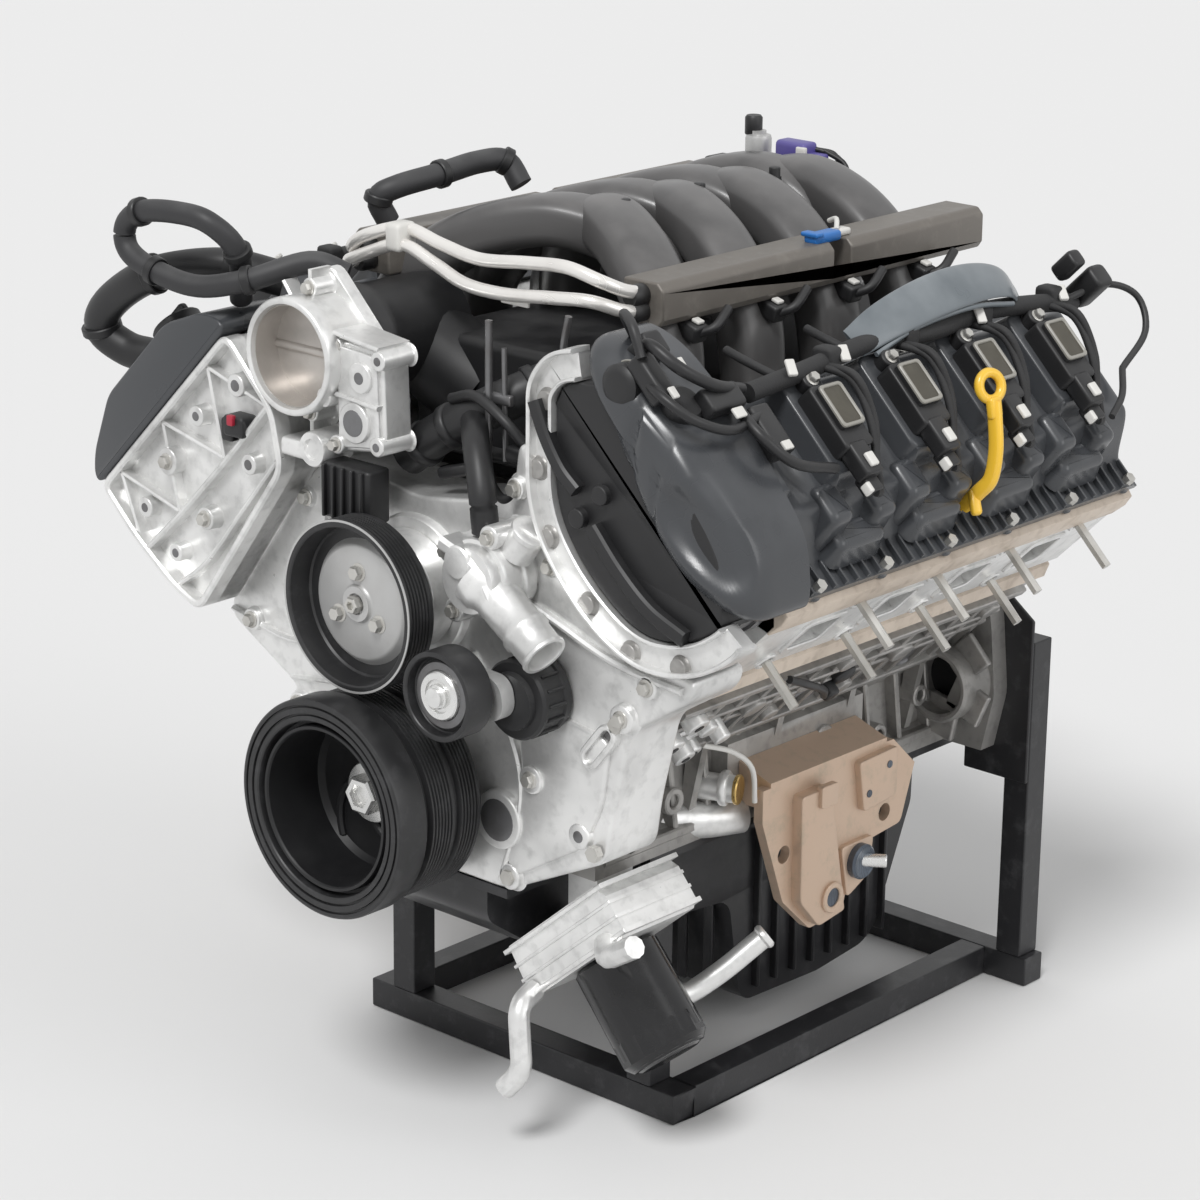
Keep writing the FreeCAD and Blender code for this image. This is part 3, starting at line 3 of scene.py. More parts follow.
import bmesh
import bpy
import numpy as np
from mathutils import Matrix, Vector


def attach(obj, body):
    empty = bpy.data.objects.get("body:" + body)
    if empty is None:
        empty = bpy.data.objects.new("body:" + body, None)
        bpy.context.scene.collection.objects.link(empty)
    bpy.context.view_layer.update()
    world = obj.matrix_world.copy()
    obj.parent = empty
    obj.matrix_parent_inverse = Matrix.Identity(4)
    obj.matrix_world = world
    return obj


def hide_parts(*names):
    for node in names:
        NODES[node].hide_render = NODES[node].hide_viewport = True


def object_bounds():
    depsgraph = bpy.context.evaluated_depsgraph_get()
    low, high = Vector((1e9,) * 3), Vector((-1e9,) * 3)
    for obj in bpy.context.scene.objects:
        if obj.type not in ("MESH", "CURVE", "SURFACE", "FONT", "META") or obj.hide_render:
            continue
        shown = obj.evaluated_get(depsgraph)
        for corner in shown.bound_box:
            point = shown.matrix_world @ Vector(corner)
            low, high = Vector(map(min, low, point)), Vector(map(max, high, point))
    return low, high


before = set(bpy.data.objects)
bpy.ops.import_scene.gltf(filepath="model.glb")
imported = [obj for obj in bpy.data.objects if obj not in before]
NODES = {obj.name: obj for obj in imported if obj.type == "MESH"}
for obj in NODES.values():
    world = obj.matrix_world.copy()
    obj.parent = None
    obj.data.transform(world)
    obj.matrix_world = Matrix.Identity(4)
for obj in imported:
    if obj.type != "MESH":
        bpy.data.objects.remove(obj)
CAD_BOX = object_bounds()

bl_info = {
    "name": "Complete V8 Engine on a Stand",
    "version": (1, 0, 0),
    "blender": (4, 5, 0),
    "location": "3D View > Sidebar > V8 Engine",
    "description": "Dresses the packed V8 engine with its castings, covers, pipes and finishes",
    "category": "Add Mesh",
}

# Lengths are in millimetres, with s measured forward from the block's rear face. Bank 1 leans to +X and
# bank -1 to -X, and the second one sits further forward.
MM = 0.001
FORWARD = (0.0, -1.0, 0.0)
ROOT_HALF = math.sqrt(0.5)
BANK_NAME = {1: "left", -1: "right"}
BANK_SHIFT = {1: 0, -1: 19}
BORE_PITCH = 100.0
FIRST_BORE = {1: 109.0, -1: 128.0}
COVER_REAR = {1: 24.0, -1: 43.0}
BLOCK_FRONT = 495
COLLAR = 1.5  # thickness of the flange under a bolt's head
PUMP_AT, TENSIONER_AT, THROTTLE_AT = (0, 165), (108, 117), (-100.0, 347.0)  # centres (x, z)
THROTTLE_BORE = 42.1


# ---------------------------------------------------------------- places

def front(points):
    """Points given as (x, s, z), s being forward of the rear face, put in the row frame (x, -s, z)."""
    points = np.asarray(points, float)
    return np.stack([points[..., 0], -points[..., 1], points[..., 2]], -1)


def bank(side, points):
    """Points given as (v, s, u) on one bank put in the row frame:
    x = side (u + v) / root 2, z = (u - v) / root 2."""
    points = np.asarray(points, float)
    v, s, u = points[..., 0], points[..., 1], points[..., 2]
    return np.stack([side * (u + v) * ROOT_HALF, -s, (u - v) * ROOT_HALF], -1)


def bores(side):
    """Stations of a bank's four bores, from the rear."""
    return [FIRST_BORE[side] + BORE_PITCH * index for index in range(4)]


def left(points):
    return bank(1, points)


def right(points):
    return bank(-1, points)


def stacked(outline, depth):
    """An outline of pairs (a, b) and a depth t give the points (a, t, b)."""
    outline = np.asarray(outline, float)
    return np.stack([outline[..., 0], np.broadcast_to(depth, outline.shape[:-1]), outline[..., 1]], -1)


# ---------------------------------------------------------------- outlines

def unit(vectors):
    return vectors / np.maximum(np.linalg.norm(vectors, axis=-1, keepdims=True), 1e-9)


def rounded(corners, radius, steps):
    """A closed outline whose corners are cut back by the radius and bridged by the curve
    (1 - t)^2 start + 2 t (1 - t) corner + t^2 end."""
    corners = np.asarray(corners, float)
    before, after = np.roll(corners, 1, 0) - corners, np.roll(corners, -1, 0) - corners
    reach_before = np.minimum(radius, np.linalg.norm(before, axis=1) * 0.49)[:, None]
    reach_after = np.minimum(radius, np.linalg.norm(after, axis=1) * 0.49)[:, None]
    start, end = corners + unit(before) * reach_before, corners + unit(after) * reach_after
    t = np.linspace(0, 1, steps + 1)[None, :, None]
    curve = (1 - t) ** 2 * start[:, None] + 2 * t * (1 - t) * corners[:, None] + t ** 2 * end[:, None]
    return curve.reshape(-1, corners.shape[1])


def smooth(points, steps):
    """A curve through every point: between points two and three it is the cubic
    (2 p1 + (p2 - p0) t + (2 p0 - 5 p1 + 4 p2 - p3) t^2 + (3 p1 - p0 - 3 p2 + p3) t^3) / 2."""
    points = np.asarray(points, float)
    padded = np.vstack([2 * points[:1] - points[1:2], points, 2 * points[-1:] - points[-2:-1]])
    p0, p1, p2, p3 = (padded[k:len(padded) - 3 + k][:, None] for k in range(4))
    t = (np.arange(steps) / steps)[None, :, None]
    curve = (2 * p1 + (p2 - p0) * t + (2 * p0 - 5 * p1 + 4 * p2 - p3) * t ** 2
             + (3 * p1 - p0 - 3 * p2 + p3) * t ** 3) / 2
    return np.vstack([curve.reshape(-1, points.shape[1]), points[-1:]])


def inset(outline, distance):
    """The parallel outline: each corner moves inwards by the distance along (n1 + n2) / (1 + n1 . n2)."""
    outline = np.asarray(outline, float)
    area = np.sum(outline[:, 0] * np.roll(outline[:, 1], -1) - np.roll(outline[:, 0], -1) * outline[:, 1])
    edge = unit(np.roll(outline, -1, 0) - outline)
    normal = np.stack([-edge[:, 1], edge[:, 0]], 1) * (1 if area > 0 else -1)
    other = np.roll(normal, 1, 0)
    mitre = (normal + other) / np.maximum(1 + np.sum(normal * other, 1, keepdims=True), 0.35)
    return outline + mitre * distance


def circle(radius, sides, centre, turn=0.0):
    """radius (cos a, sin a) about the centre."""
    angle = np.arange(sides) * 2 * math.pi / sides + turn
    return np.stack([centre[0] + radius * np.cos(angle), centre[1] + radius * np.sin(angle)], 1)


# ---------------------------------------------------------------- shapes: (points, list of face arrays)

def grid(points, wrap_rows=False, wrap_columns=False, caps=False):
    """Quads between neighbouring points of an array (rows, columns, 3); caps fill the first and last row."""
    rows, columns = points.shape[:2]
    index = np.arange(rows * columns).reshape(rows, columns)
    if wrap_rows:
        index = np.vstack([index, index[:1]])
    if wrap_columns:
        index = np.hstack([index, index[:, :1]])
    quads = np.stack([index[:-1, :-1], index[1:, :-1], index[1:, 1:], index[:-1, 1:]], -1).reshape(-1, 4)
    faces = [quads]
    if caps:
        faces += [np.arange(columns)[None, ::-1], (rows - 1) * columns + np.arange(columns)[None]]
    return points.reshape(-1, 3), faces


def joined(*shapes):
    """Several shapes as one: the face numbers of each go up by the points before it."""
    starts = np.cumsum([0] + [len(points) for points, _ in shapes[:-1]])
    faces = [array + start for (_, arrays), start in zip(shapes, starts) for array in arrays]
    return np.vstack([points for points, _ in shapes]), faces


def repeated(shape, places):
    """The shape moved to each place in turn."""
    points, faces = shape
    places = np.asarray(places, float)
    steps = (np.arange(len(places)) * len(points))[:, None, None]
    moved = (points[None] + places[:, None]).reshape(-1, 3)
    return moved, [(array[None] + steps).reshape(-1, array.shape[1]) for array in faces]


def axes_for(axis):
    axis = unit(np.asarray(axis, float))
    other = np.array([0.0, 0.0, 1.0]) if abs(axis[2]) < 0.9 else np.array([1.0, 0.0, 0.0])
    across = unit(np.cross(other, axis))
    return axis, across, np.cross(axis, across)


def turned(profile, centre, axis, sides, turn=0.0, ring=False):
    """A profile of (radius, height) pairs turned about an axis:
    centre + height axis + radius (cos a across + sin a up). A ring's profile closes on itself."""
    profile = np.asarray(profile, float)
    axis, across, up = axes_for(axis)
    angle = (np.arange(sides) * 2 * math.pi / sides + turn)[None, :, None]
    radius, height = profile[:, 0][:, None, None], profile[:, 1][:, None, None]
    around = np.cos(angle) * across + np.sin(angle) * up
    points = np.asarray(centre, float) + height * axis + radius * around
    return grid(points, wrap_rows=ring, wrap_columns=True, caps=not ring)


def post(centre, axis, radius, height, edge, sides, foot=0.0):
    """A round boss with a rounded rim, and a flared foot where one is asked for."""
    t = np.linspace(0, math.pi / 2, 4)
    rim = np.stack([radius - edge + edge * np.cos(t), height - edge + edge * np.sin(t)], 1)
    base = [(radius, 0.0)]
    if foot:
        base = [(radius + foot, 0.0), (radius + foot * 0.35, foot * 0.5), (radius, foot * 1.6)]
    return turned(np.vstack([base, rim]), centre, axis, sides)


def tube(path, radius, sides, up=(0, 0, 1), steps=8):
    """A round section carried along the smooth path: p + r (cos a N + sin a B), N = up x T, B = T x N."""
    path = smooth(path, steps) if steps > 1 else np.asarray(path, float)
    tangent = unit(np.gradient(path, axis=0))
    normal = unit(np.cross(np.asarray(up, float), tangent))
    binormal = np.cross(tangent, normal)
    angle = (np.arange(sides) * 2 * math.pi / sides)[None, :, None]
    size = np.broadcast_to(np.asarray(radius, float), (len(path),))[:, None, None]
    points = path[:, None] + size * (np.cos(angle) * normal[:, None] + np.sin(angle) * binormal[:, None])
    return grid(points, wrap_columns=True, caps=True)


def swept(path, sections, up):
    """A closed section (columns, 2) for each row of the path, given as pairs (across, upward)."""
    tangent = unit(np.gradient(path, axis=0))
    across = unit(np.cross(np.asarray(up, float), tangent))
    upward = np.cross(tangent, across)
    points = path[:, None] + sections[..., :1] * across[:, None] + sections[..., 1:] * upward[:, None]
    return grid(points, wrap_columns=True, caps=True)


def plate(outline, low, high, place, edge, steps=3, foot=0.0):
    """An outline carried from low to high; its rim falls inwards by edge (1 - cos a) over edge (1 - sin a).
    The foot is how far the first row is drawn in."""
    sign = 1.0 if high > low else -1.0
    angle = np.linspace(0, math.pi / 2, steps + 1)
    top_in, top_at = edge * (1 - np.cos(angle)), high - sign * edge * (1 - np.sin(angle))
    ins = np.concatenate([[foot], top_in])
    at = np.concatenate([[low], top_at])
    rows = np.stack([stacked(inset(outline, d), t) for d, t in zip(ins, at)])
    return grid(place(rows), wrap_columns=True, caps=True)


def slab(outline, low, high, place, edge):
    """A plate with both rims rounded."""
    angle = np.linspace(0, math.pi / 2, 4)
    sign = 1.0 if high > low else -1.0
    fall, rise = edge * (1 - np.sin(angle)), edge * (1 - np.cos(angle))
    ins = np.concatenate([fall, fall[::-1]])
    at = np.concatenate([low + sign * rise, high - sign * rise[::-1]])
    rows = np.stack([stacked(inset(outline, d), t) for d, t in zip(ins, at)])
    return grid(place(rows), wrap_columns=True, caps=True)


def band(line, width, low, high, place, edge):
    """A bar of that width along a line drawn in the plane, raised from low to high."""
    line = np.asarray(line, float)
    tangent = unit(np.gradient(line, axis=0))
    normal = np.stack([-tangent[:, 1], tangent[:, 0]], 1)
    half, sign = width / 2, 1.0 if high > low else -1.0
    section = np.array([(-half, low), (-half, high - sign * edge), (-half + edge, high),
                        (half - edge, high), (half, high - sign * edge), (half, low)])
    flat = line[:, None] + normal[:, None] * section[None, :, :1]
    rows = np.stack([flat[..., 0], np.broadcast_to(section[None, :, 1], flat.shape[:2]), flat[..., 1]], -1)
    return grid(place(rows), wrap_columns=True, caps=True)


def ring_plate(outer, inner, low, high, place, edge):
    """The flat ring between two outlines with the same number of points, raised from low to high."""
    outer, inner = np.asarray(outer, float), np.asarray(inner, float)
    shoulder = high - edge if high > low else high + edge
    fall = unit(inner - outer) * edge
    rows = np.stack([stacked(outer, low), stacked(outer, shoulder), stacked(outer + fall, high),
                     stacked(inner - fall, high), stacked(inner, shoulder), stacked(inner, low)])
    return grid(place(rows), wrap_rows=True, wrap_columns=True)


def block(centre, axis, size, edge, up=(0, 0, 1)):
    """A box with rounded rims: its length runs along the axis, its width and height across it."""
    axis = unit(np.asarray(axis, float))
    across = unit(np.cross(np.asarray(up, float), axis))
    upward = np.cross(axis, across)
    length, width, height = size
    corners = np.array([(-width, -height), (width, -height), (width, height), (-width, height)]) / 2
    outline = rounded(corners, min(edge * 1.6, width * 0.4, height * 0.4), 3)
    angle = np.linspace(0, math.pi / 2, 4)
    fall, rise = edge * (1 - np.sin(angle)), edge * (1 - np.cos(angle))
    ins, at = np.concatenate([fall, fall[::-1]]), np.concatenate([rise, length - rise[::-1]]) - length / 2
    rows = np.stack([inset(outline, d) for d in ins])
    points = (np.asarray(centre, float) + at[:, None, None] * axis
              + rows[..., :1] * across + rows[..., 1:] * upward)
    return grid(points, wrap_columns=True, caps=True)


def hex_bolt(axis, across_flats, height):
    """A flanged hexagon head standing on the origin, with its rim chamfered and its collar round."""
    radius = across_flats / 2 / math.cos(math.pi / 6)
    wide = radius * 1.28
    flange = turned([(wide, 0), (wide, COLLAR * 0.6), (radius * 1.02, COLLAR)], (0, 0, 0), axis, 20)
    side = [(radius, COLLAR * 0.5), (radius, height - radius * 0.16), (radius * 0.86, height)]
    return joined(flange, turned(side, (0, 0, 0), axis, 6))


def smoothstep(value, low, high):
    """3 t^2 - 2 t^3, where t runs from 0 to 1 between low and high."""
    t = np.clip((value - low) / (high - low), 0, 1)
    return t * t * (3 - 2 * t)


def spun(profile, x, z, sides, ring=False):
    """A profile of (radius, station) pairs turned about the line at (x, z) that runs forward."""
    return turned(profile, (x, 0.0, z), FORWARD, sides, ring=ring)


def belt_track(radius, start, ribs, pitch=3.6, depth=2.6):
    """A grooved belt track: in every pitch the radius stays, falls by the depth and comes back."""
    rib = np.arange(ribs)[:, None]
    station = start + pitch * (rib + np.array([0.0, 0.42, 0.71, 1.0]))
    height = radius - depth * np.array([0.0, 0.0, 1.0, 0.0]) + 0.0 * rib
    return np.stack([height.ravel(), station.ravel()], 1).tolist()


def bolts(places, axis=FORWARD, across=10.0, height=6.0):
    """Flanged hexagon heads standing on each place."""
    return repeated(hex_bolt(axis, across, height), places)


def flat_view(side, pairs):
    """A bank's (v, u) pairs as (x, z) pairs of the front view."""
    return bank(side, stacked(pairs, 0.0))[..., [0, 2]]


def dome_rim():
    """Outline of the left cam drive's opening, in that bank's (v, u)."""
    return rounded([(-141, 328), (-90, 276), (-20, 262), (60, 276), (104, 325), (117, 382), (104, 400),
                    (60, 440), (-30, 452), (-120, 442), (-166, 395), (-166, 352)], 40, 8)


def raised(side):
    """Reads (a, height, b) as (v, u, s) of a bank: an outline of (v, s) pairs is raised along the bores."""
    return lambda p: bank(side, np.stack([p[..., 0], p[..., 2], p[..., 1]], -1))


def superellipse(half_depth, half_width, sides=32, power=0.62):
    """half sizes times (sign |cos|^power, sign |sin|^power): between an ellipse and a box."""
    angle = np.arange(sides) * 2 * math.pi / sides
    cosine, sine = np.cos(angle), np.sin(angle)
    return np.stack([half_depth * np.sign(cosine) * np.abs(cosine) ** power,
                     half_width * np.sign(sine) * np.abs(sine) ** power], 1)


def box_outline(low_a, high_a, low_b, high_b, radius, steps=4):
    return rounded([(low_a, low_b), (high_a, low_b), (high_a, high_b), (low_a, high_b)], radius, steps)


def spun_ring(centre, axis, radius, thickness):
    """A thin round wire ring about an axis."""
    angle = np.arange(10) * 2 * math.pi / 10
    section = np.stack([radius + thickness * np.cos(angle), thickness * np.sin(angle)], 1)
    return turned(section, centre, axis, 48, ring=True)


def outward(side):
    """Reads (a, height, b) as (s, v, u) of one bank: an outline of (s, u) pairs is raised sideways."""
    return lambda p: bank(side, np.stack([p[..., 1], p[..., 0], p[..., 2]], -1))


def sideways(side):
    """Reads (a, height, b) as (s, x, z): an outline of (s, z) pairs is raised along X."""
    return lambda p: front(np.stack([side * p[..., 1], p[..., 0], p[..., 2]], -1))


# ---------------------------------------------------------------- materials

class Wiring:
    """Adds nodes to one tree and joins them by name."""

    def __init__(self, tree):
        self.tree = tree

    def add(self, kind, settings=None, **inputs):
        node = self.tree.nodes.new(kind)
        for name, value in (settings or {}).items():
            setattr(node, name, value)
        for name, value in inputs.items():
            numbered = name[0] == "i" and name[1:].isdigit()
            slot = node.inputs[int(name[1:]) if numbered else name.replace("_", " ")]
            if isinstance(value, bpy.types.NodeSocket):
                self.tree.links.new(value, slot)
            else:
                slot.default_value = value
        return node

    def math(self, operation, a, b=0.0, clamp=False):
        settings = {"operation": operation, "use_clamp": clamp}
        return self.add("ShaderNodeMath", settings, i0=a, i1=b).outputs[0]

    def mix(self, factor, a, b):
        settings = {"data_type": "RGBA", "blend_type": "MIX"}
        return self.add("ShaderNodeMix", settings, i0=factor, i6=a, i7=b).outputs[2]

    def spread(self, value, low, high):
        """The value as 0 to 1 between low and high."""
        node = self.add("ShaderNodeMapRange", {"clamp": True}, Value=value, From_Min=low, From_Max=high)
        return node.outputs[0]


def new_group(name, inputs, outputs):
    """A shader node group with named sockets; inputs are (name, kind, default)."""
    group = bpy.data.node_groups.new(name, "ShaderNodeTree")
    for label, kind, default in inputs:
        socket = group.interface.new_socket(name=label, in_out="INPUT", socket_type="NodeSocket" + kind)
        if default is not None:
            socket.default_value = default
    for label, kind in outputs:
        group.interface.new_socket(name=label, in_out="OUTPUT", socket_type="NodeSocket" + kind)
    wiring = Wiring(group)
    return group, wiring, wiring.add("NodeGroupInput").outputs, wiring.add("NodeGroupOutput").inputs


def cast_skin_group():
    """Sand-cast surface: slow changes of tone, fine pits, and pale rubbed places."""
    group, w, given, out = new_group("Cast skin", [("Vector", "Vector", None),
                                                   ("Colour", "Color", (0.8, 0.8, 0.8, 1)),
                                                   ("Shade", "Color", (0.5, 0.5, 0.5, 1)),
                                                   ("Grain", "Float", 900.0), ("Roughness", "Float", 0.45)],
                                     [("Colour", "Color"), ("Roughness", "Float"), ("Height", "Float")])
    tone = w.add("ShaderNodeTexNoise", Vector=given["Vector"], Scale=14.0, Detail=3.0).outputs[0]
    cloud = w.add("ShaderNodeTexNoise", Vector=given["Vector"], Scale=90.0, Detail=4.0).outputs[0]
    grain = w.add("ShaderNodeTexNoise", Vector=given["Vector"], Scale=given["Grain"], Detail=2.0).outputs[0]
    amount = w.math("MULTIPLY", w.spread(tone, 0.4, 0.7), 0.55)
    amount = w.math("ADD", amount, w.math("MULTIPLY", w.spread(cloud, 0.5, 0.75), 0.35), True)
    w.tree.links.new(w.mix(amount, given["Colour"], given["Shade"]), out["Colour"])
    rough = w.math("ADD", given["Roughness"], w.math("MULTIPLY", w.math("SUBTRACT", cloud, 0.5), 0.35), True)
    w.tree.links.new(rough, out["Roughness"])
    height = w.math("ADD", w.math("MULTIPLY", grain, 0.6), w.math("MULTIPLY", cloud, 0.9))
    w.tree.links.new(height, out["Height"])
    return group


def moulded_group():
    """Moulded plastic: an even fine grain, faint flow marks, and a lighter colour on upward faces that is
    partly settled dust and partly painted top light.
    """
    group, w, given, out = new_group(
        "Moulded skin",
        [("Vector", "Vector", None), ("Colour", "Color", (0.05, 0.05, 0.05, 1)),
         ("Dust", "Color", (0.3, 0.3, 0.3, 1)),
         ("Dust amount", "Float", 0.15), ("Grain", "Float", 1400.0), ("Roughness", "Float", 0.45)],
        [("Colour", "Color"), ("Roughness", "Float"), ("Height", "Float")])
    flow = w.add("ShaderNodeTexNoise", Vector=given["Vector"], Scale=22.0, Detail=3.0).outputs[0]
    grain = w.add("ShaderNodeTexVoronoi", Vector=given["Vector"], Scale=given["Grain"]).outputs[0]
    # upward faces take the second colour: settled dust and painted top light together
    upward = w.add("ShaderNodeSeparateXYZ",
                   Vector=w.add("ShaderNodeNewGeometry").outputs["Normal"]).outputs[2]
    dust_and_top_light = w.math("MULTIPLY", w.spread(upward, 0.2, 1.0), w.spread(flow, 0.35, 0.7))
    dust_and_top_light = w.math("MULTIPLY", dust_and_top_light, given["Dust amount"])
    w.tree.links.new(w.mix(dust_and_top_light, given["Colour"], given["Dust"]), out["Colour"])
    rough = w.math("ADD", given["Roughness"], w.math("MULTIPLY", w.math("SUBTRACT", flow, 0.5), 0.3), True)
    w.tree.links.new(w.math("ADD", rough, w.math("MULTIPLY", dust_and_top_light, 0.3), True), out["Roughness"])
    w.tree.links.new(grain, out["Height"])
    return group


def worked_metal_group():
    """Machined or drawn metal: fine lines across one direction, faint smears and a slow change of tone."""
    group, w, given, out = new_group(
        "Worked metal",
        [("Vector", "Vector", None), ("Colour", "Color", (0.6, 0.6, 0.6, 1)),
         ("Stain", "Color", (0.3, 0.28, 0.25, 1)),
         ("Stain amount", "Float", 0.2), ("Line scale", "Vector", (40.0, 900.0, 40.0)),
         ("Roughness", "Float", 0.3)],
        [("Colour", "Color"), ("Roughness", "Float"), ("Height", "Float")])
    lines = w.add("ShaderNodeVectorMath", {"operation": "MULTIPLY"}, i0=given["Vector"],
                  i1=given["Line scale"]).outputs[0]
    fine = w.add("ShaderNodeTexNoise", Vector=lines, Scale=1.0, Detail=2.0).outputs[0]
    stain = w.add("ShaderNodeTexNoise", Vector=given["Vector"], Scale=35.0, Detail=4.0).outputs[0]
    amount = w.math("MULTIPLY", w.spread(stain, 0.45, 0.75), given["Stain amount"])
    w.tree.links.new(w.mix(amount, given["Colour"], given["Stain"]), out["Colour"])
    rough = w.math("ADD", given["Roughness"], w.math("MULTIPLY", w.math("SUBTRACT", fine, 0.5), 0.3), True)
    w.tree.links.new(rough, out["Roughness"])
    w.tree.links.new(fine, out["Height"])
    return group


def sprayed_group():
    """Sprayed or powder paint: a shallow orange-peel waviness and rubbed, duller places."""
    group, w, given, out = new_group(
        "Sprayed coat",
        [("Vector", "Vector", None), ("Colour", "Color", (0.05, 0.05, 0.05, 1)),
         ("Rubbed", "Color", (0.2, 0.2, 0.2, 1)),
         ("Rubbed amount", "Float", 0.15), ("Peel", "Float", 260.0), ("Roughness", "Float", 0.35)],
        [("Colour", "Color"), ("Roughness", "Float"), ("Height", "Float")])
    peel = w.add("ShaderNodeTexNoise", Vector=given["Vector"], Scale=given["Peel"], Detail=1.0).outputs[0]
    rub = w.add("ShaderNodeTexNoise", Vector=given["Vector"], Scale=48.0, Detail=6.0,
                Roughness=0.7).outputs[0]
    amount = w.math("MULTIPLY", w.spread(rub, 0.52, 0.72), given["Rubbed amount"])
    w.tree.links.new(w.mix(amount, given["Colour"], given["Rubbed"]), out["Colour"])
    rough = w.math("ADD", given["Roughness"], w.math("MULTIPLY", w.math("SUBTRACT", rub, 0.5), 0.35), True)
    w.tree.links.new(rough, out["Roughness"])
    w.tree.links.new(peel, out["Height"])
    return group


GROUPS = {}
MATERIALS = {}


SECOND_COLOUR = {"cast": "Shade", "moulded": "Dust", "worked": "Stain", "sprayed": "Rubbed"}
FINE_SCALE = {"cast": "Grain", "moulded": "Grain", "sprayed": "Peel"}
COAT_ROUGHNESS = 0.12


def finish(name, group, colour, second, roughness, amount=None, scale=None,
           metallic=0.0, bump=0.1, depth=0.0002, coat=0.0, specular=0.5):
    """One finish: the named group feeds colour, roughness and bump, and the rest are the shader's constants.
    The amount says how much of the second colour shows, and the scale how fine the grain or the peel is."""
    material = bpy.data.materials.new(name)
    material.use_nodes = True
    tree = material.node_tree
    tree.nodes.clear()
    w = Wiring(tree)
    place = w.add("ShaderNodeTexCoord").outputs["Object"]
    effect = w.add("ShaderNodeGroup", {"node_tree": GROUPS[group]})
    tree.links.new(place, effect.inputs["Vector"])
    given = effect.inputs
    given["Colour"].default_value = (*colour, 1.0)
    given[SECOND_COLOUR[group]].default_value = (*second, 1.0)
    given["Roughness"].default_value = roughness
    if amount is not None:
        given[SECOND_COLOUR[group] + " amount"].default_value = amount
    if scale is not None:
        given[FINE_SCALE[group]].default_value = scale
    bumped = w.add("ShaderNodeBump", Height=effect.outputs["Height"], Strength=bump,
                   Distance=depth).outputs[0]
    shader = w.add("ShaderNodeBsdfPrincipled", Base_Color=effect.outputs["Colour"],
                   Roughness=effect.outputs["Roughness"], Normal=bumped, Metallic=metallic,
                   Coat_Weight=coat, Specular_IOR_Level=specular)
    if coat:
        shader.inputs["Coat Roughness"].default_value = COAT_ROUGHNESS
    tree.links.new(shader.outputs[0], w.add("ShaderNodeOutputMaterial").inputs[0])
    material.diffuse_color = (*colour, 1.0)
    MATERIALS[name] = material


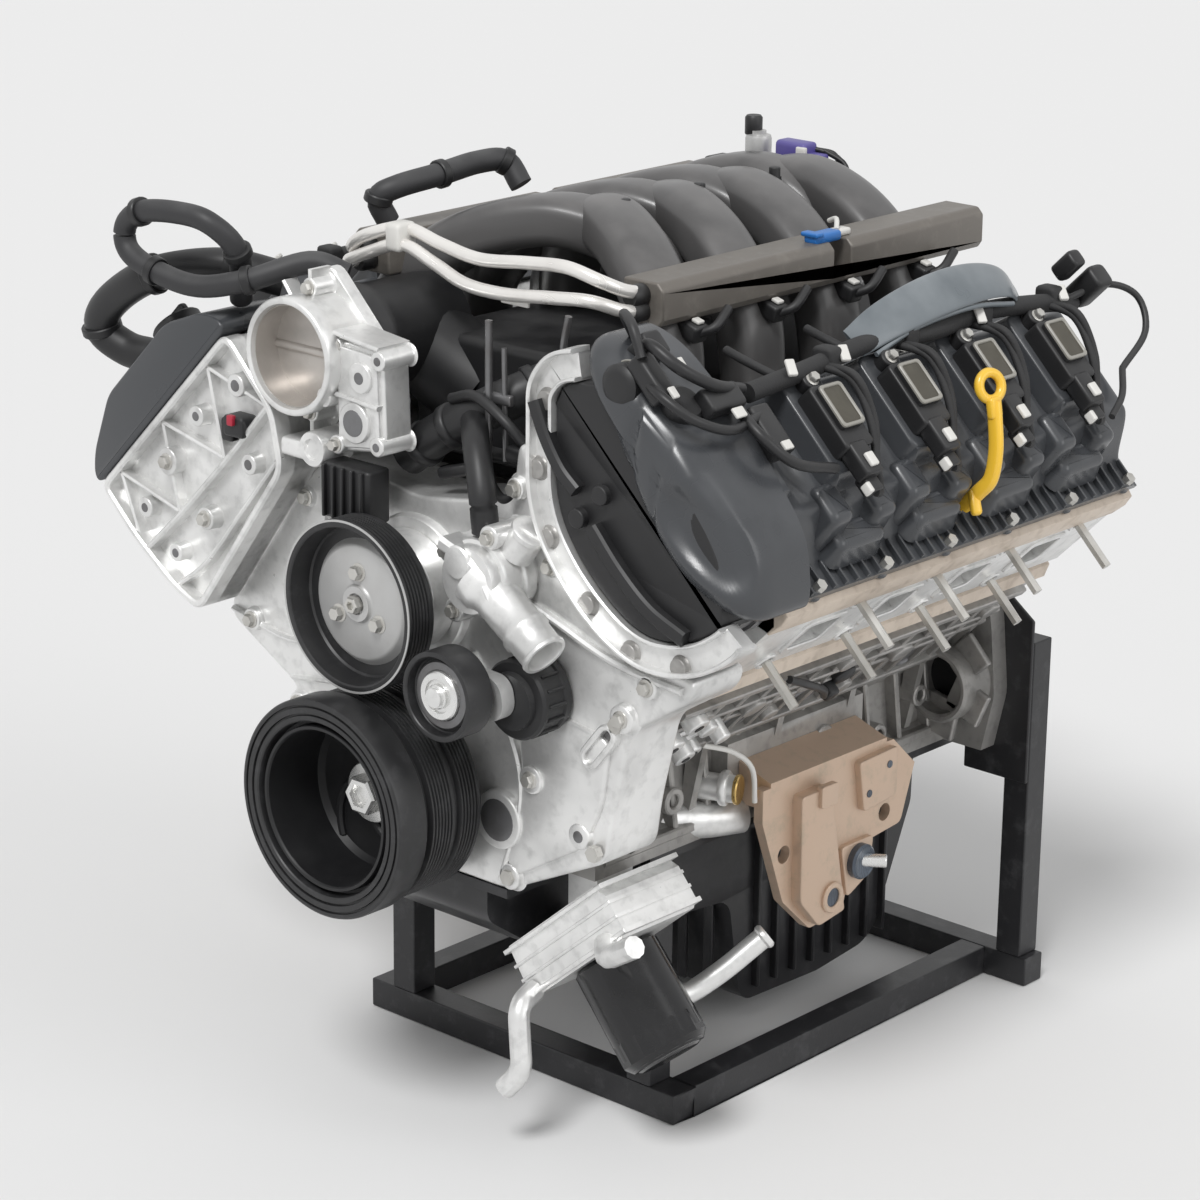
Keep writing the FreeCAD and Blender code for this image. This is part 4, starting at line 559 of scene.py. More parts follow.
def make_finishes(colours):
    """Every finish of the engine, from the colours in the panel."""
    GROUPS.update({"cast": cast_skin_group(), "moulded": moulded_group(),
                   "worked": worked_metal_group(), "sprayed": sprayed_group()})
    c = {name: tuple(getattr(colours, name)) for name in colours.bl_rna.properties.keys()
         if name not in ("rna_type", "name")}

    def shade(colour, share):
        return tuple(min(1.0, x * share) for x in colour)

    finish("bright_casting", "cast", c["bright_casting"], shade(c["bright_casting"], 0.5), 0.36,
           metallic=0.6, bump=0.25, depth=0.0004)
    finish("grey_casting", "cast", c["grey_casting"], shade(c["grey_casting"], 0.32), 0.42, scale=700.0,
           metallic=0.55, bump=0.4, depth=0.0005)
    finish("tan_casting", "cast", c["tan_casting"], (0.30, 0.24, 0.19), 0.5, scale=700.0, metallic=0.35,
           bump=0.3, depth=0.0004)
    # in the moulded finishes the second colour goes on upward faces as dust and painted top light together,
    # strongest on the runners
    finish("satin_plastic", "moulded", c["satin_plastic"], (0.26, 0.27, 0.285), 0.3, amount=0.16, bump=0.05,
           coat=0.15)
    finish("runner_plastic", "moulded", c["runner_plastic"], (0.30, 0.29, 0.285), 0.36, amount=0.35,
           bump=0.05, coat=0.1)
    finish("dark_plastic", "moulded", c["dark_plastic"], (0.14, 0.14, 0.14), 0.45, amount=0.25, bump=0.1)
    finish("hose_rubber", "moulded", c["hose_rubber"], (0.25, 0.25, 0.25), 0.55, amount=0.3, scale=900.0,
           bump=0.15)
    finish("loom_tape", "moulded", (0.02, 0.02, 0.021), (0.12, 0.12, 0.12), 0.7, amount=0.3, scale=500.0,
           bump=0.35, depth=0.0004)
    finish("clip_white", "moulded", c["clip_white"], (0.5, 0.48, 0.44), 0.4, amount=0.2, bump=0.05)
    finish("clip_red", "moulded", (0.42, 0.02, 0.045), (0.4, 0.2, 0.2), 0.4, bump=0.05)
    finish("clip_blue", "moulded", (0.02, 0.16, 0.5), (0.4, 0.5, 0.6), 0.4, bump=0.05)
    finish("clip_violet", "moulded", (0.10, 0.08, 0.30), (0.4, 0.4, 0.5), 0.4, bump=0.05)
    finish("dipstick_plastic", "moulded", c["dipstick_plastic"], (0.9, 0.7, 0.3), 0.3, amount=0.15,
           bump=0.03, coat=0.3)
    finish("black_paint", "sprayed", c["black_paint"], (0.16, 0.16, 0.165), 0.36, bump=0.12, depth=0.0003)
    finish("stand_paint", "sprayed", c["stand_paint"], (0.13, 0.13, 0.135), 0.42, scale=420.0, amount=0.3,
           bump=0.2, depth=0.0003)
    finish("gloss_paint", "sprayed", (0.012, 0.012, 0.013), (0.03, 0.03, 0.03), 0.16, bump=0.03, coat=0.2,
           specular=0.35)
    finish("rail_paint", "sprayed", c["rail_paint"], (0.30, 0.28, 0.25), 0.42, amount=0.35, scale=500.0,
           metallic=0.25, bump=0.15)
    finish("copper_paint", "sprayed", (0.18, 0.085, 0.035), (0.08, 0.05, 0.03), 0.5, amount=0.8,
           scale=500.0, metallic=0.4, bump=0.2)
    finish("zinc_tan", "sprayed", c["zinc_tan"], (0.42, 0.36, 0.27), 0.4, amount=0.6, scale=600.0,
           metallic=0.35, bump=0.2)
    finish("bright_steel", "worked", c["bright_steel"], (0.45, 0.43, 0.40), 0.26, metallic=0.8, bump=0.08,
           depth=0.0001)
    finish("bolt_steel", "worked", (0.60, 0.59, 0.56), (0.25, 0.23, 0.20), 0.34, amount=0.5, metallic=0.75,
           bump=0.1, depth=0.0001)
    finish("dark_steel", "worked", (0.20, 0.20, 0.205), (0.09, 0.08, 0.075), 0.38, amount=0.6, metallic=0.7,
           bump=0.15, depth=0.0001)
    finish("bore_alloy", "worked", (0.52, 0.49, 0.46), (0.30, 0.28, 0.26), 0.36, amount=0.5, metallic=0.6,
           bump=0.1, depth=0.0001)
    finish("brass_top", "worked", (0.085, 0.078, 0.062), (0.14, 0.13, 0.10), 0.4, amount=0.7, metallic=0.3,
           bump=0.15, depth=0.0002)
    finish("brass", "worked", (0.62, 0.43, 0.16), (0.35, 0.22, 0.08), 0.3, amount=0.4, metallic=0.8,
           bump=0.08, depth=0.0001)
    finish("pale_edge", "moulded", (0.30, 0.29, 0.26), (0.5, 0.5, 0.5), 0.35, bump=0.02)
    finish("shield_plastic", "moulded", (0.13, 0.15, 0.165), (0.45, 0.48, 0.5), 0.32, amount=0.4, bump=0.03,
           coat=0.2)
    finish("pipe_nickel", "worked", (0.86, 0.84, 0.81), (0.5, 0.48, 0.45), 0.22, metallic=0.45, bump=0.05,
           depth=0.0001)
    finish("slate_steel", "worked", (0.10, 0.12, 0.15), (0.03, 0.03, 0.035), 0.3, amount=0.5, metallic=0.5,
           bump=0.05, depth=0.0001)
    finish("satin_steel", "worked", (0.52, 0.52, 0.515), (0.38, 0.37, 0.36), 0.42, amount=0.3,
           metallic=0.45, bump=0.05, depth=0.0001)
    finish("damper_paint", "sprayed", (0.018, 0.018, 0.019), (0.06, 0.06, 0.063), 0.42, amount=0.5,
           bump=0.1, depth=0.0002)
    finish("deep_black", "sprayed", (0.008, 0.008, 0.009), (0.02, 0.02, 0.02), 0.5, bump=0.05)
    finish("gasket", "sprayed", (0.05, 0.05, 0.052), (0.12, 0.11, 0.1), 0.6, bump=0.2)


# ---------------------------------------------------------------- pieces

# body, slot and finish of the pieces that share them
BLACK_PLASTIC = ("engine", "moulded_black", "dark_plastic")
BRIGHT_CAST = ("engine", "cast_bright", "bright_casting")
WHITE_CLIP = ("engine", "moulded_black", "clip_white")
BOLT = ("engine", "fastener_steel", "bolt_steel")
COVER_PLASTIC = ("engine", "moulded_black", "satin_plastic")
# dark discs that stand for holes and pockets: painted shade
HOLE_SHADE = ("engine", "cast_bright", "dark_steel")
GREY_CAST = ("engine", "cast_grey", "grey_casting")
# near-black discs and plugs that stand for deep openings: painted shade
DEEP_HOLE_SHADE = ("engine", "cast_bright", "deep_black")
STIFF_HOSE = ("engine", "rubber_black", "dark_plastic")
PALE_EDGE = ("engine", "moulded_black", "pale_edge")
COOLER_CAST = ("engine", "cooler_alloy", "bright_casting")

def add_piece(name, shape, body, slot, material, replaced=(), sharp=38.0):
    """Puts a shape, given in millimetres, into the scene as one closed piece that rides on its body."""
    points, faces = shape
    mesh = bpy.data.meshes.new(name)
    mesh.from_pydata((points * MM).tolist(), [], [face for array in faces for face in array.tolist()])
    shell = bmesh.new()
    shell.from_mesh(mesh)
    bmesh.ops.remove_doubles(shell, verts=shell.verts, dist=1e-6)
    bmesh.ops.recalc_face_normals(shell, faces=shell.faces)
    shell.to_mesh(mesh)
    shell.free()
    settle(name, mesh, body, material, replaced, sharp)


def settle(name, mesh, body, material, replaced, sharp, bevel=0.0):
    """Shades the mesh, gives it its finish and its body, and hides the CAD nodes it stands for."""
    mesh.polygons.foreach_set("use_smooth", np.ones(len(mesh.polygons), bool))
    mesh.set_sharp_from_angle(angle=math.radians(sharp))
    mesh.materials.clear()
    mesh.materials.append(MATERIALS[material])
    piece = bpy.data.objects.new(name, mesh)
    bpy.context.scene.collection.objects.link(piece)
    if bevel:
        rim = piece.modifiers.new("Rounded rims", "BEVEL")
        rim.width, rim.segments = bevel * MM, 2
        rim.limit_method, rim.angle_limit = "ANGLE", math.radians(40)
        rim.harden_normals = True
    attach(piece, body)
    if replaced:
        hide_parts(*replaced)


def softened(name, node, body, material, bevel):
    """A CAD node's own shape with its loose triangles merged, flat areas joined and its rims rounded."""
    mesh = NODES[node].data.copy()
    mesh.name = name
    shell = bmesh.new()
    shell.from_mesh(mesh)
    bmesh.ops.remove_doubles(shell, verts=shell.verts, dist=1e-5)
    bmesh.ops.dissolve_limit(shell, angle_limit=math.radians(1.0), verts=shell.verts, edges=shell.edges)
    shell.to_mesh(mesh)
    shell.free()
    settle(name, mesh, body, material, (node,), 32.0, bevel)


def dressed(node, material):
    """A CAD node whose shape is right keeps it and gets a better finish."""
    mesh = NODES[node].data
    mesh.materials.clear()
    mesh.materials.append(MATERIALS[material])


# ---------------------------------------------------------------- sizes and colours in the panel

def length(label, text, millimetres):
    return bpy.props.FloatProperty(name=label, description=text, default=millimetres * MM, unit="LENGTH",
                                   subtype="DISTANCE")


def colour(label, text, red, green, blue):
    return bpy.props.FloatVectorProperty(name=label, description=text, default=(red, green, blue), size=3,
                                         subtype="COLOR", min=0.0, max=1.0)


class EngineSizes(bpy.types.PropertyGroup):
    """Sizes that a user would change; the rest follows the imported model."""
    coil_top: length("Coil height", "Height of the coils' tops above the crank, along the bores", 466.0)
    runner_width: length("Runner width", "Width of one intake runner", 58.0)
    runner_depth: length("Runner depth", "Depth of one intake runner at the top of its arch", 44.0)
    hose_radius: length("Hose radius", "Outside radius of the breather hoses", 9.5)
    pipe_radius: length("Fuel pipe radius", "Outside radius of the bright fuel pipes", 5.5)
    damper_radius: length("Damper radius", "Outside radius of the crankshaft damper", 92.4)
    pump_pulley_radius: length("Pump pulley radius", "Outside radius of the water pump's pulley", 71.4)
    idler_radius: length("Idler radius", "Outside radius of the tensioner's pulley", 36.9)
    throttle_radius: length("Throttle rim radius", "Outside radius of the throttle body's inlet rim", 49.0)
    filter_radius: length("Oil filter radius", "Outside radius of the oil filter's can", 37.8)


class EngineColours(bpy.types.PropertyGroup):
    """Base colours of the finishes."""
    bright_casting: colour("Bright casting", "Front cover, heads, throttle body", 0.86, 0.86, 0.85)
    grey_casting: colour("Grey casting", "Cylinder block", 0.42, 0.41, 0.395)
    tan_casting: colour("Warm casting", "Rim of the heads below the cam covers", 0.66, 0.57, 0.48)
    satin_plastic: colour("Satin plastic", "Cam covers", 0.048, 0.051, 0.056)
    runner_plastic: colour("Runner plastic", "Intake runners", 0.085, 0.083, 0.083)
    dark_plastic: colour("Dark plastic", "Plenum, connectors and clips", 0.014, 0.014, 0.015)
    hose_rubber: colour("Hose rubber", "Hoses and seals", 0.028, 0.028, 0.03)
    clip_white: colour("White clips", "Locking tabs of the connectors", 0.72, 0.71, 0.68)
    dipstick_plastic: colour("Dipstick grip", "Yellow plastic of the dipstick's grip", 0.85, 0.52, 0.04)
    black_paint: colour("Black paint", "Damper, pulleys and oil pan", 0.022, 0.022, 0.024)
    stand_paint: colour("Stand paint", "Square tubes of the stand", 0.018, 0.018, 0.02)
    rail_paint: colour("Rail paint", "Fuel rails", 0.17, 0.155, 0.138)
    zinc_tan: colour("Passivated zinc", "Engine mount brackets", 0.60, 0.45, 0.34)
    bright_steel: colour("Bright steel", "Pipes and pulley faces", 0.80, 0.80, 0.79)
    floor: colour("Floor", "Studio floor and backdrop", 0.797, 0.797, 0.797)


def sizes_of(context):
    """The panel's lengths in millimetres."""
    group = context.scene.v8_sizes
    return {name: getattr(group, name) / MM for name in EngineSizes.__annotations__}


# ---------------------------------------------------------------- operators

FLOOR_HALF = 12.0
FLOOR_GAP = 0.0005
SKY_LIGHT = 0.5
# name, turn in degrees, power, spread
LAMPS = (("key", (38, 0, 20), 1.9, 0.3), ("fill", (66, 0, 100), 0.6, 0.7))
CAMERA_LENS, CAMERA_SENSOR = 108.9, 36.0
CAMERA_NEAR, CAMERA_FAR = 0.05, 60.0
CAMERA_PLACE = (1.9896, -2.5610, 1.0600)
CAMERA_ACROSS, CAMERA_UP = (0.7429, 0.6693, 0.0114), (-0.2129, 0.2201, 0.9520)
CAMERA_BACK = (0.6347, -0.7096, 0.3060)


class V8_OT_stage(bpy.types.Operator):
    """Floor, even studio light and the camera, three quarters from the front and a little above"""
    bl_idname = "v8.stage"
    bl_label = "Stage"

    def execute(self, context):
        scene = context.scene
        scene.view_settings.view_transform = "Standard"
        make_finishes(scene.v8_colours)
        pale = (*scene.v8_colours.floor, 1.0)
        low = CAD_BOX[0][2] - FLOOR_GAP
        mesh = bpy.data.meshes.new("studio_floor")
        ticks = np.linspace(-FLOOR_HALF, FLOOR_HALF, 9)
        x, y = np.meshgrid(ticks, ticks)
        points, faces = grid(np.stack([x, y, np.full(x.shape, low)], -1))
        mesh.from_pydata(points.tolist(), [], faces[0][:, ::-1].tolist())
        floor = bpy.data.objects.new("studio_floor", mesh)
        scene.collection.objects.link(floor)
        mesh.materials.append(self.floor_material(pale))
        self.world(scene, pale)
        for name, turn, power, softness in LAMPS:
            lamp = bpy.data.lights.new(name + "_light", "SUN")
            lamp.energy, lamp.angle = power, softness
            thing = bpy.data.objects.new(name + "_light", lamp)
            thing.rotation_euler = [math.radians(a) for a in turn]
            scene.collection.objects.link(thing)
        camera_data = bpy.data.cameras.new("camera")
        camera_data.sensor_fit = "HORIZONTAL"
        camera_data.lens, camera_data.sensor_width = CAMERA_LENS, CAMERA_SENSOR
        camera_data.clip_start, camera_data.clip_end = CAMERA_NEAR, CAMERA_FAR
        camera = bpy.data.objects.new("camera", camera_data)
        scene.collection.objects.link(camera)
        place = np.eye(4)
        place[:3] = np.array([CAMERA_ACROSS, CAMERA_UP, CAMERA_BACK, CAMERA_PLACE]).T
        camera.matrix_world = Matrix(place.tolist())
        scene.camera = camera
        return {"FINISHED"}

    def floor_material(self, pale):
        """A pale matt floor of the background's colour, with the object's shadow on it."""
        material = bpy.data.materials.new("studio_floor")
        material.use_nodes = True
        tree = material.node_tree
        tree.nodes.clear()
        w = Wiring(tree)
        matt = w.add("ShaderNodeBsdfDiffuse", Color=pale).outputs[0]
        tree.links.new(matt, w.add("ShaderNodeOutputMaterial").inputs[0])
        return material

    def world(self, scene, pale):
        """Even light for the object; camera, glossy and transmission rays see the pale background."""
        world = bpy.data.worlds.new("studio")
        scene.world = world
        world.use_nodes = True
        tree = world.node_tree
        tree.nodes.clear()
        w = Wiring(tree)
        path = w.add("ShaderNodeLightPath").outputs
        seen = w.math("ADD", w.math("ADD", path["Is Camera Ray"], path["Is Glossy Ray"], True),
                      path["Is Transmission Ray"], True)
        light = w.add("ShaderNodeBackground", Color=(1.0, 1.0, 1.0, 1.0), Strength=SKY_LIGHT).outputs[0]
        shown = w.add("ShaderNodeBackground", Color=pale, Strength=1.0).outputs[0]
        both = w.add("ShaderNodeMixShader", i0=seen, i1=light, i2=shown).outputs[0]
        tree.links.new(both, w.add("ShaderNodeOutputWorld").inputs[0])


class V8_OT_inner_parts(bpy.types.Operator):
    """Finishes for the crank train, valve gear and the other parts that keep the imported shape"""
    bl_idname = "v8.inner_parts"
    bl_label = "Inner parts"

    def execute(self, context):
        finishes = {
            "grey_casting": ["oil_pump", "main_bearing_caps"],
            "bright_casting": ["cam_bridges"] + ["piston_%d" % k for k in range(1, 9)],
            "dark_steel": ["crankshaft", "connecting_rods", "timing_chains", "crank_sprocket", "spark_plugs",
                           "intake_cam_left", "exhaust_cam_left", "intake_cam_right", "exhaust_cam_right",
                           "oil_pickup"],
            "hose_rubber": ["crank_seal", "damper_rubber"],
            "gasket": ["head_gaskets"],
            "zinc_tan": ["chain_guides"],
            "bolt_steel": ["cover_bolts", "flexplate", "exhaust_studs"],
        }
        for material, nodes in finishes.items():
            for node in nodes:
                dressed(node, material)
        return {"FINISHED"}


def cover_height(side, v, s):
    """Height of a cam cover above the crank, over a grid of outboard distance and station: a rim at 388,
    flanks that rise along 3 t^2 - 2 t^3, a flat top, raised coil seats and shallow flow grooves."""
    rear = COVER_REAR[side]
    rise = smoothstep(v, -88, -64) * smoothstep(-v, -72, -34)
    height = 388.5 + 38.5 * rise
    middle = BORE_PITCH * np.round((s - FIRST_BORE[side]) / BORE_PITCH) + FIRST_BORE[side]
    seat = (smoothstep(v, -36, -30) * smoothstep(-v, -30, -22) * smoothstep(-np.abs(s - middle), -25, -20)
            * (s > FIRST_BORE[side] - 40))
    height = height + 16.5 * seat * (v > -60)
    between = smoothstep(np.abs(s - middle), 30, 46) * smoothstep(v, -40, -20) * smoothstep(-v, -40, 4)
    height = height - 9.0 * between
    ends = smoothstep(s, rear + 2, rear + 12)
    return 384 + (height - 384) * ends


class V8_OT_cam_covers(bpy.types.Operator):
    """Cam covers: smooth trays with coil seats and a ribbed rim, and the round front domes"""
    bl_idname = "v8.cam_covers"
    bl_label = "Cam covers"

    def execute(self, context):
        for side in (1, -1):
            self.tray(side)
        self.left_front()
        self.right_front()
        return {"FINISHED"}

    def tray(self, side):
        rear, front_end = COVER_REAR[side], 497.0
        v = np.concatenate([np.linspace(-91.5, -60, 16), np.linspace(-58, 30, 46),
                            np.linspace(32, 91.5, 26)])
        s = np.linspace(rear, front_end, 210)
        top_v, top_s = np.meshgrid(v, s)
        top = bank(side, np.stack([top_v, top_s, cover_height(side, top_v, top_s)], -1))
        floor = np.maximum(cover_height(side, top_v, top_s) - 6, 380.2)
        floor[np.abs(top_v) > 78] = 380.2
        floor[:2] = floor[-2:] = 380.2
        low = bank(side, np.stack([top_v, top_s, floor], -1))
        loop = np.concatenate([top, low[:, ::-1]], 1)
        shell = grid(loop, wrap_columns=True, caps=True)
        stations = np.arange(rear + 14, 488, 14.0)
        rib = plate(rounded([(67, -1.1), (90.5, -1.1), (90.5, 1.1), (67, 1.1)], 0.8, 2), 388, 393.5,
                    raised(side), 0.6)
        ribs = repeated(rib, np.stack([stations * 0, -stations, stations * 0], 1))
        bolts = np.array([40.0, 124.0, 208.0, 292.0, 376.0, 460.0]) + BANK_SHIFT[side]
        boss = post((0, 0, 0), bank(side, [0, 0, 1]), 9.5, 8.5, 1.5, 24, foot=2.0)
        places = np.concatenate([bank(side, np.stack([bolts * 0 + v0, bolts, bolts * 0 + 380.3], 1)) for v0
                                 in (82.0, -82.0)])
        name = BANK_NAME[side] + "_cam_cover_tray"
        add_piece(name, joined(shell, ribs, repeated(boss, places)), *COVER_PLASTIC,
                  ("cam_cover_" + BANK_NAME[side],))

    def left_front(self):
        rim = dome_rim()
        flange = slab(inset(rim, 27), BLOCK_FRONT, 568, left, 2.0)
        pads = []
        for ends, width in ((((-147, 346), (-120, 336), (-92, 331), (-70, 333)), 12),
                            (((-40, 326), (0, 325), (40, 330), (76, 345)), 13)):
            pads.append(band(smooth(ends, 8), width, 560, 576.5, left, 2.0))
        nose = rounded([(-152, 404), (-118, 404), (-52, 384), (4, 371), (54, 370), (92, 386),
                        (104.5, 402.5), (62, 438), (-30, 450), (-120, 440), (-158, 420)], 22, 8)
        middle = np.array([-16.0, 410.0])
        reach = np.concatenate([[1.0, 1.0], np.sin(np.linspace(1, 0, 40) * math.pi / 2)])
        rise = 534 + 45 * np.maximum(1 - reach ** 5, 0) ** 0.42
        rise[0] = 496
        outline = middle + (nose - middle) * reach[:, None, None]
        v, u = outline[..., 0], outline[..., 1]
        oval = ((v - 33 - (u - 418) * 0.4) / 47) ** 2 + ((u - 418) / 24) ** 2
        slant = v + (u - 410) * 0.7
        groove = np.exp(-((slant + 62) / 5) ** 2) + 0.6 * np.exp(-((slant + 26) / 4) ** 2)
        sunk = 11 * smoothstep(-oval, -1.5, -0.25) + 4 * groove
        station = rise[:, None] - sunk * smoothstep(rise, 550, 570)[:, None]
        dome = grid(left(np.stack([v, station, u], -1)), wrap_columns=True, caps=True)
        add_piece("left_cover_nose", dome, *COVER_PLASTIC)
        boss = [post(left([v, 566, u]), (0, -1, 0), r, h, 1.5, 28, 1.5) for v, u, r, h in
                ((-54, 350, 8, 8), (-54, 318, 8, 9))]
        add_piece("left_cover_flange", joined(flange, *pads, *boss), *BLACK_PLASTIC)

    def right_front(self):
        line = rounded([(-120, 380), (112, 380), (112, 390), (96, 404), (44, 428), (-62, 428), (-106, 408),
                        (-120, 392)], 10, 5)
        end = slab(line, BLOCK_FRONT, 599.5, right, 2.5)
        add_piece("right_cover_end", end, *COVER_PLASTIC)


class V8_OT_castings(bpy.types.Operator):
    """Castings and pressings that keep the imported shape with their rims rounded"""
    bl_idname = "v8.castings"
    bl_label = "Castings"

    def execute(self, context):
        for node, slot, material, rim in (
                ("cylinder_block", "cast_grey", "grey_casting", 1.5),
                ("cylinder_head_left", "cast_bright", "bright_casting", 1.5),
                ("cylinder_head_right", "cast_bright", "bright_casting", 1.5),
                ("water_pump_body", "cast_bright", "bright_casting", 1.5),
                ("tensioner_arm", "cast_bright", "bright_casting", 1.2),
                ("oil_pan", "pan_black", "black_paint", 1.5),
                ("oil_cooler", "cooler_alloy", "bright_casting", 1.2),
                ("mount_brackets", "bracket_zinc", "zinc_tan", 1.0),
                ("stand_rails", "stand_paint", "stand_paint", 1.5),
                ("stand_posts", "stand_paint", "stand_paint", 1.5),
                ("fuel_injectors", "moulded_black", "dark_plastic", 0.6),
        ):
            body = "tensioner_arm" if node == "tensioner_arm" else "engine"
            softened(node + "_shape", node, body, material, rim)
        for node, material in (("throttle_plate", "bore_alloy"), ("oil_filter", "gloss_paint")):
            dressed(node, material)
        return {"FINISHED"}


# ---------------------------------------------------------------- front of the engine

class V8_OT_wheels(bpy.types.Operator):
    """Crankshaft damper, water pump pulley and tensioner pulley with their grooves and bolts"""
    bl_idname = "v8.wheels"
    bl_label = "Damper and pulleys"

    def execute(self, context):
        size = sizes_of(context)
        self.damper(size["damper_radius"])
        self.pump_pulley(size["pump_pulley_radius"])
        self.tensioner(size["idler_radius"])
        return {"FINISHED"}

    def damper(self, r):
        ring = [(73.2, 578), (r - 3.6, 577.4), (r - 3, 578.4)] + belt_track(r - 3, 580, 5)
        ring += [(r - 3, 599.5), (r - 7, 601), (r - 7, 606), (r - 3, 607.5)] + belt_track(r - 3, 609, 6)
        ring += [(r - 3, 632.5), (r - 7.8, 634), (r - 7.8, 641), (r - 0.5, 642.4), (r, 643.4), (r, 668.5),
                 (r - 0.8, 670.8), (r - 2.4, 671.8), (r - 4.8, 671.8), (r - 5.2, 669.8), (r - 6.6, 669.8),
                 (r - 7, 671.8), (r - 11.8, 671.8), (r - 12.2, 669.4), (r - 13.6, 669.4), (r - 14, 671.4),
                 (r - 17.6, 671.4), (r - 18.6, 670.4), (73.2, 668)]
        add_piece("damper_ring_shape", spun(ring, 0, 0, 128, True), "crank", "damper_black", "damper_paint",
                  ("damper_ring",), 30)
        pot = [(30, 545), (30, 588), (46, 590.5), (66, 592), (69.7, 594), (69.7, 667), (69.0, 668.6),
               (66.6, 668.6), (65.6, 667), (64.6, 613), (61, 607.4), (32, 606), (28, 608), (26.6, 611.8)]
        swirl = np.linspace(0, 1, 12)
        spokes = []
        for k in range(4):
            angle = k * math.pi / 2 + 0.9 * swirl
            line = np.stack([np.cos(angle), np.sin(angle)], 1) * (29 + 34 * swirl)[:, None]
            spokes.append(band(line, 7, 605, 611.5, front, 2.0))
        add_piece("damper_hub_shape", joined(spun(pot, 0, 0, 96), *spokes), "crank", "damper_black",
                  "deep_black", ("damper_hub",), 30)
        washer = spun([(26, 611.6), (26, 614.8), (25, 616), (19.5, 616.2)], 0, 0, 48)
        head = turned([(17, 615.8), (17, 626.8), (15, 628.8), (10.6, 628.8), (10.2, 628), (9.4, 622)],
                      (0, 0, 0), FORWARD, 6)
        key = block((0, -610, 37), FORWARD, (7, 5, 12), 0.8)
        add_piece("crank_bolt_shape", joined(washer, head, key), "crank", "fastener_steel", "bright_steel",
                  ("crank_bolt",))

    def pump_pulley(self, r):
        rim = [(22, 606), (22, 611), (60, 612), (r - 0.8, 612.4),
               (r, 613.4)] + belt_track(r, 616, 6, 3.5, 2.4)
        rim += [(r, 638.8), (r - 0.6, 640.4), (r - 2, 640.8), (r - 5, 640.8), (r - 6.2, 640),
                (r - 8.9, 621.6), (r - 10.4, 620), (53, 619.8)]
        add_piece("pump_pulley_rim", spun(rim, *PUMP_AT, 112), "pump_pulley", "pulley_black", "damper_paint",
                  ("water_pump_pulley",), 30)
        face = spun([(53.2, 619.4), (51.4, 620.4), (48.4, 624.6), (45.6, 626.2), (17, 626.4), (15.4, 627.4),
                     (14.4, 630), (9, 630), (8, 627)], *PUMP_AT, 96)
        edge = [(r - 1.7, 640.1), (r + 0.05, 640.1), (r + 0.05, 640.95), (r - 1.7, 640.95)]
        line = spun(edge, *PUMP_AT, 112, True)
        add_piece("pump_pulley_face", joined(face, line), "pump_pulley", "fastener_steel", "satin_steel")
        turn = np.arange(3) * 2 * math.pi / 3
        places = front(np.stack([26 * np.sin(turn), turn * 0 + 626, 165 + 26 * np.cos(turn)], 1))
        nut = turned([(7.6, 629), (7.6, 635), (6.4, 636.4), (3.8, 636.4), (3.2, 633)], (0, 0, 165), FORWARD,
                     6)
        add_piece("pump_pulley_bolts", joined(bolts(places, FORWARD, 10.5, 7.5), nut), "pump_pulley",
                  "fastener_steel", "bolt_steel")

    def tensioner(self, r):
        rim = [(30, 621.2), (r - 0.6, 621.4), (r, 622.4), (r, 647.4), (r - 0.6, 648.6), (r - 2, 648.9),
               (r - 4, 648.9), (r - 4.8, 648), (r - 6, 640.5), (r - 7.6, 639), (20, 638.6)]
        add_piece("tensioner_pulley_shape", spun(rim, *TENSIONER_AT, 72), "tensioner_pulley", "pulley_black",
                  "damper_paint", ("tensioner_pulley",), 30)
        shield = spun([(29, 638.2), (28.4, 641), (26.8, 642.4), (21, 642.6), (20, 641.4)], *TENSIONER_AT, 64)
        add_piece("tensioner_shield", shield, "tensioner_pulley", "fastener_steel", "dark_steel")
        centre = spun([(20.2, 641), (20, 645), (18.8, 646.2), (14, 646.2), (13.2, 644.4), (10.4, 644.4),
                       (10, 647.8), (9, 648.8), (4.6, 648.8), (4, 645.5)], *TENSIONER_AT, 48)
        add_piece("tensioner_centre", centre, "tensioner_pulley", "fastener_steel", "bright_steel")
        drum = [(28, 560), (33, 561), (33, 567), (31.4, 568.5), (31.4, 586), (33, 587.5), (33, 591),
                (31, 593.4), (24, 594), (23, 599.8)]
        fins = [block((140 + 31.6 * math.sin(a), -577, 108 + 31.6 * math.cos(a)), FORWARD, (19, 2.2, 4), 0.6,
                      (math.sin(a), 0, math.cos(a))) for a in np.arange(16) * math.pi / 8]
        add_piece("tensioner_housing_shape", joined(spun(drum, 140, 108, 64), *fins), "engine",
                  "damper_black", "dark_plastic", ("tensioner_housing",), 30)


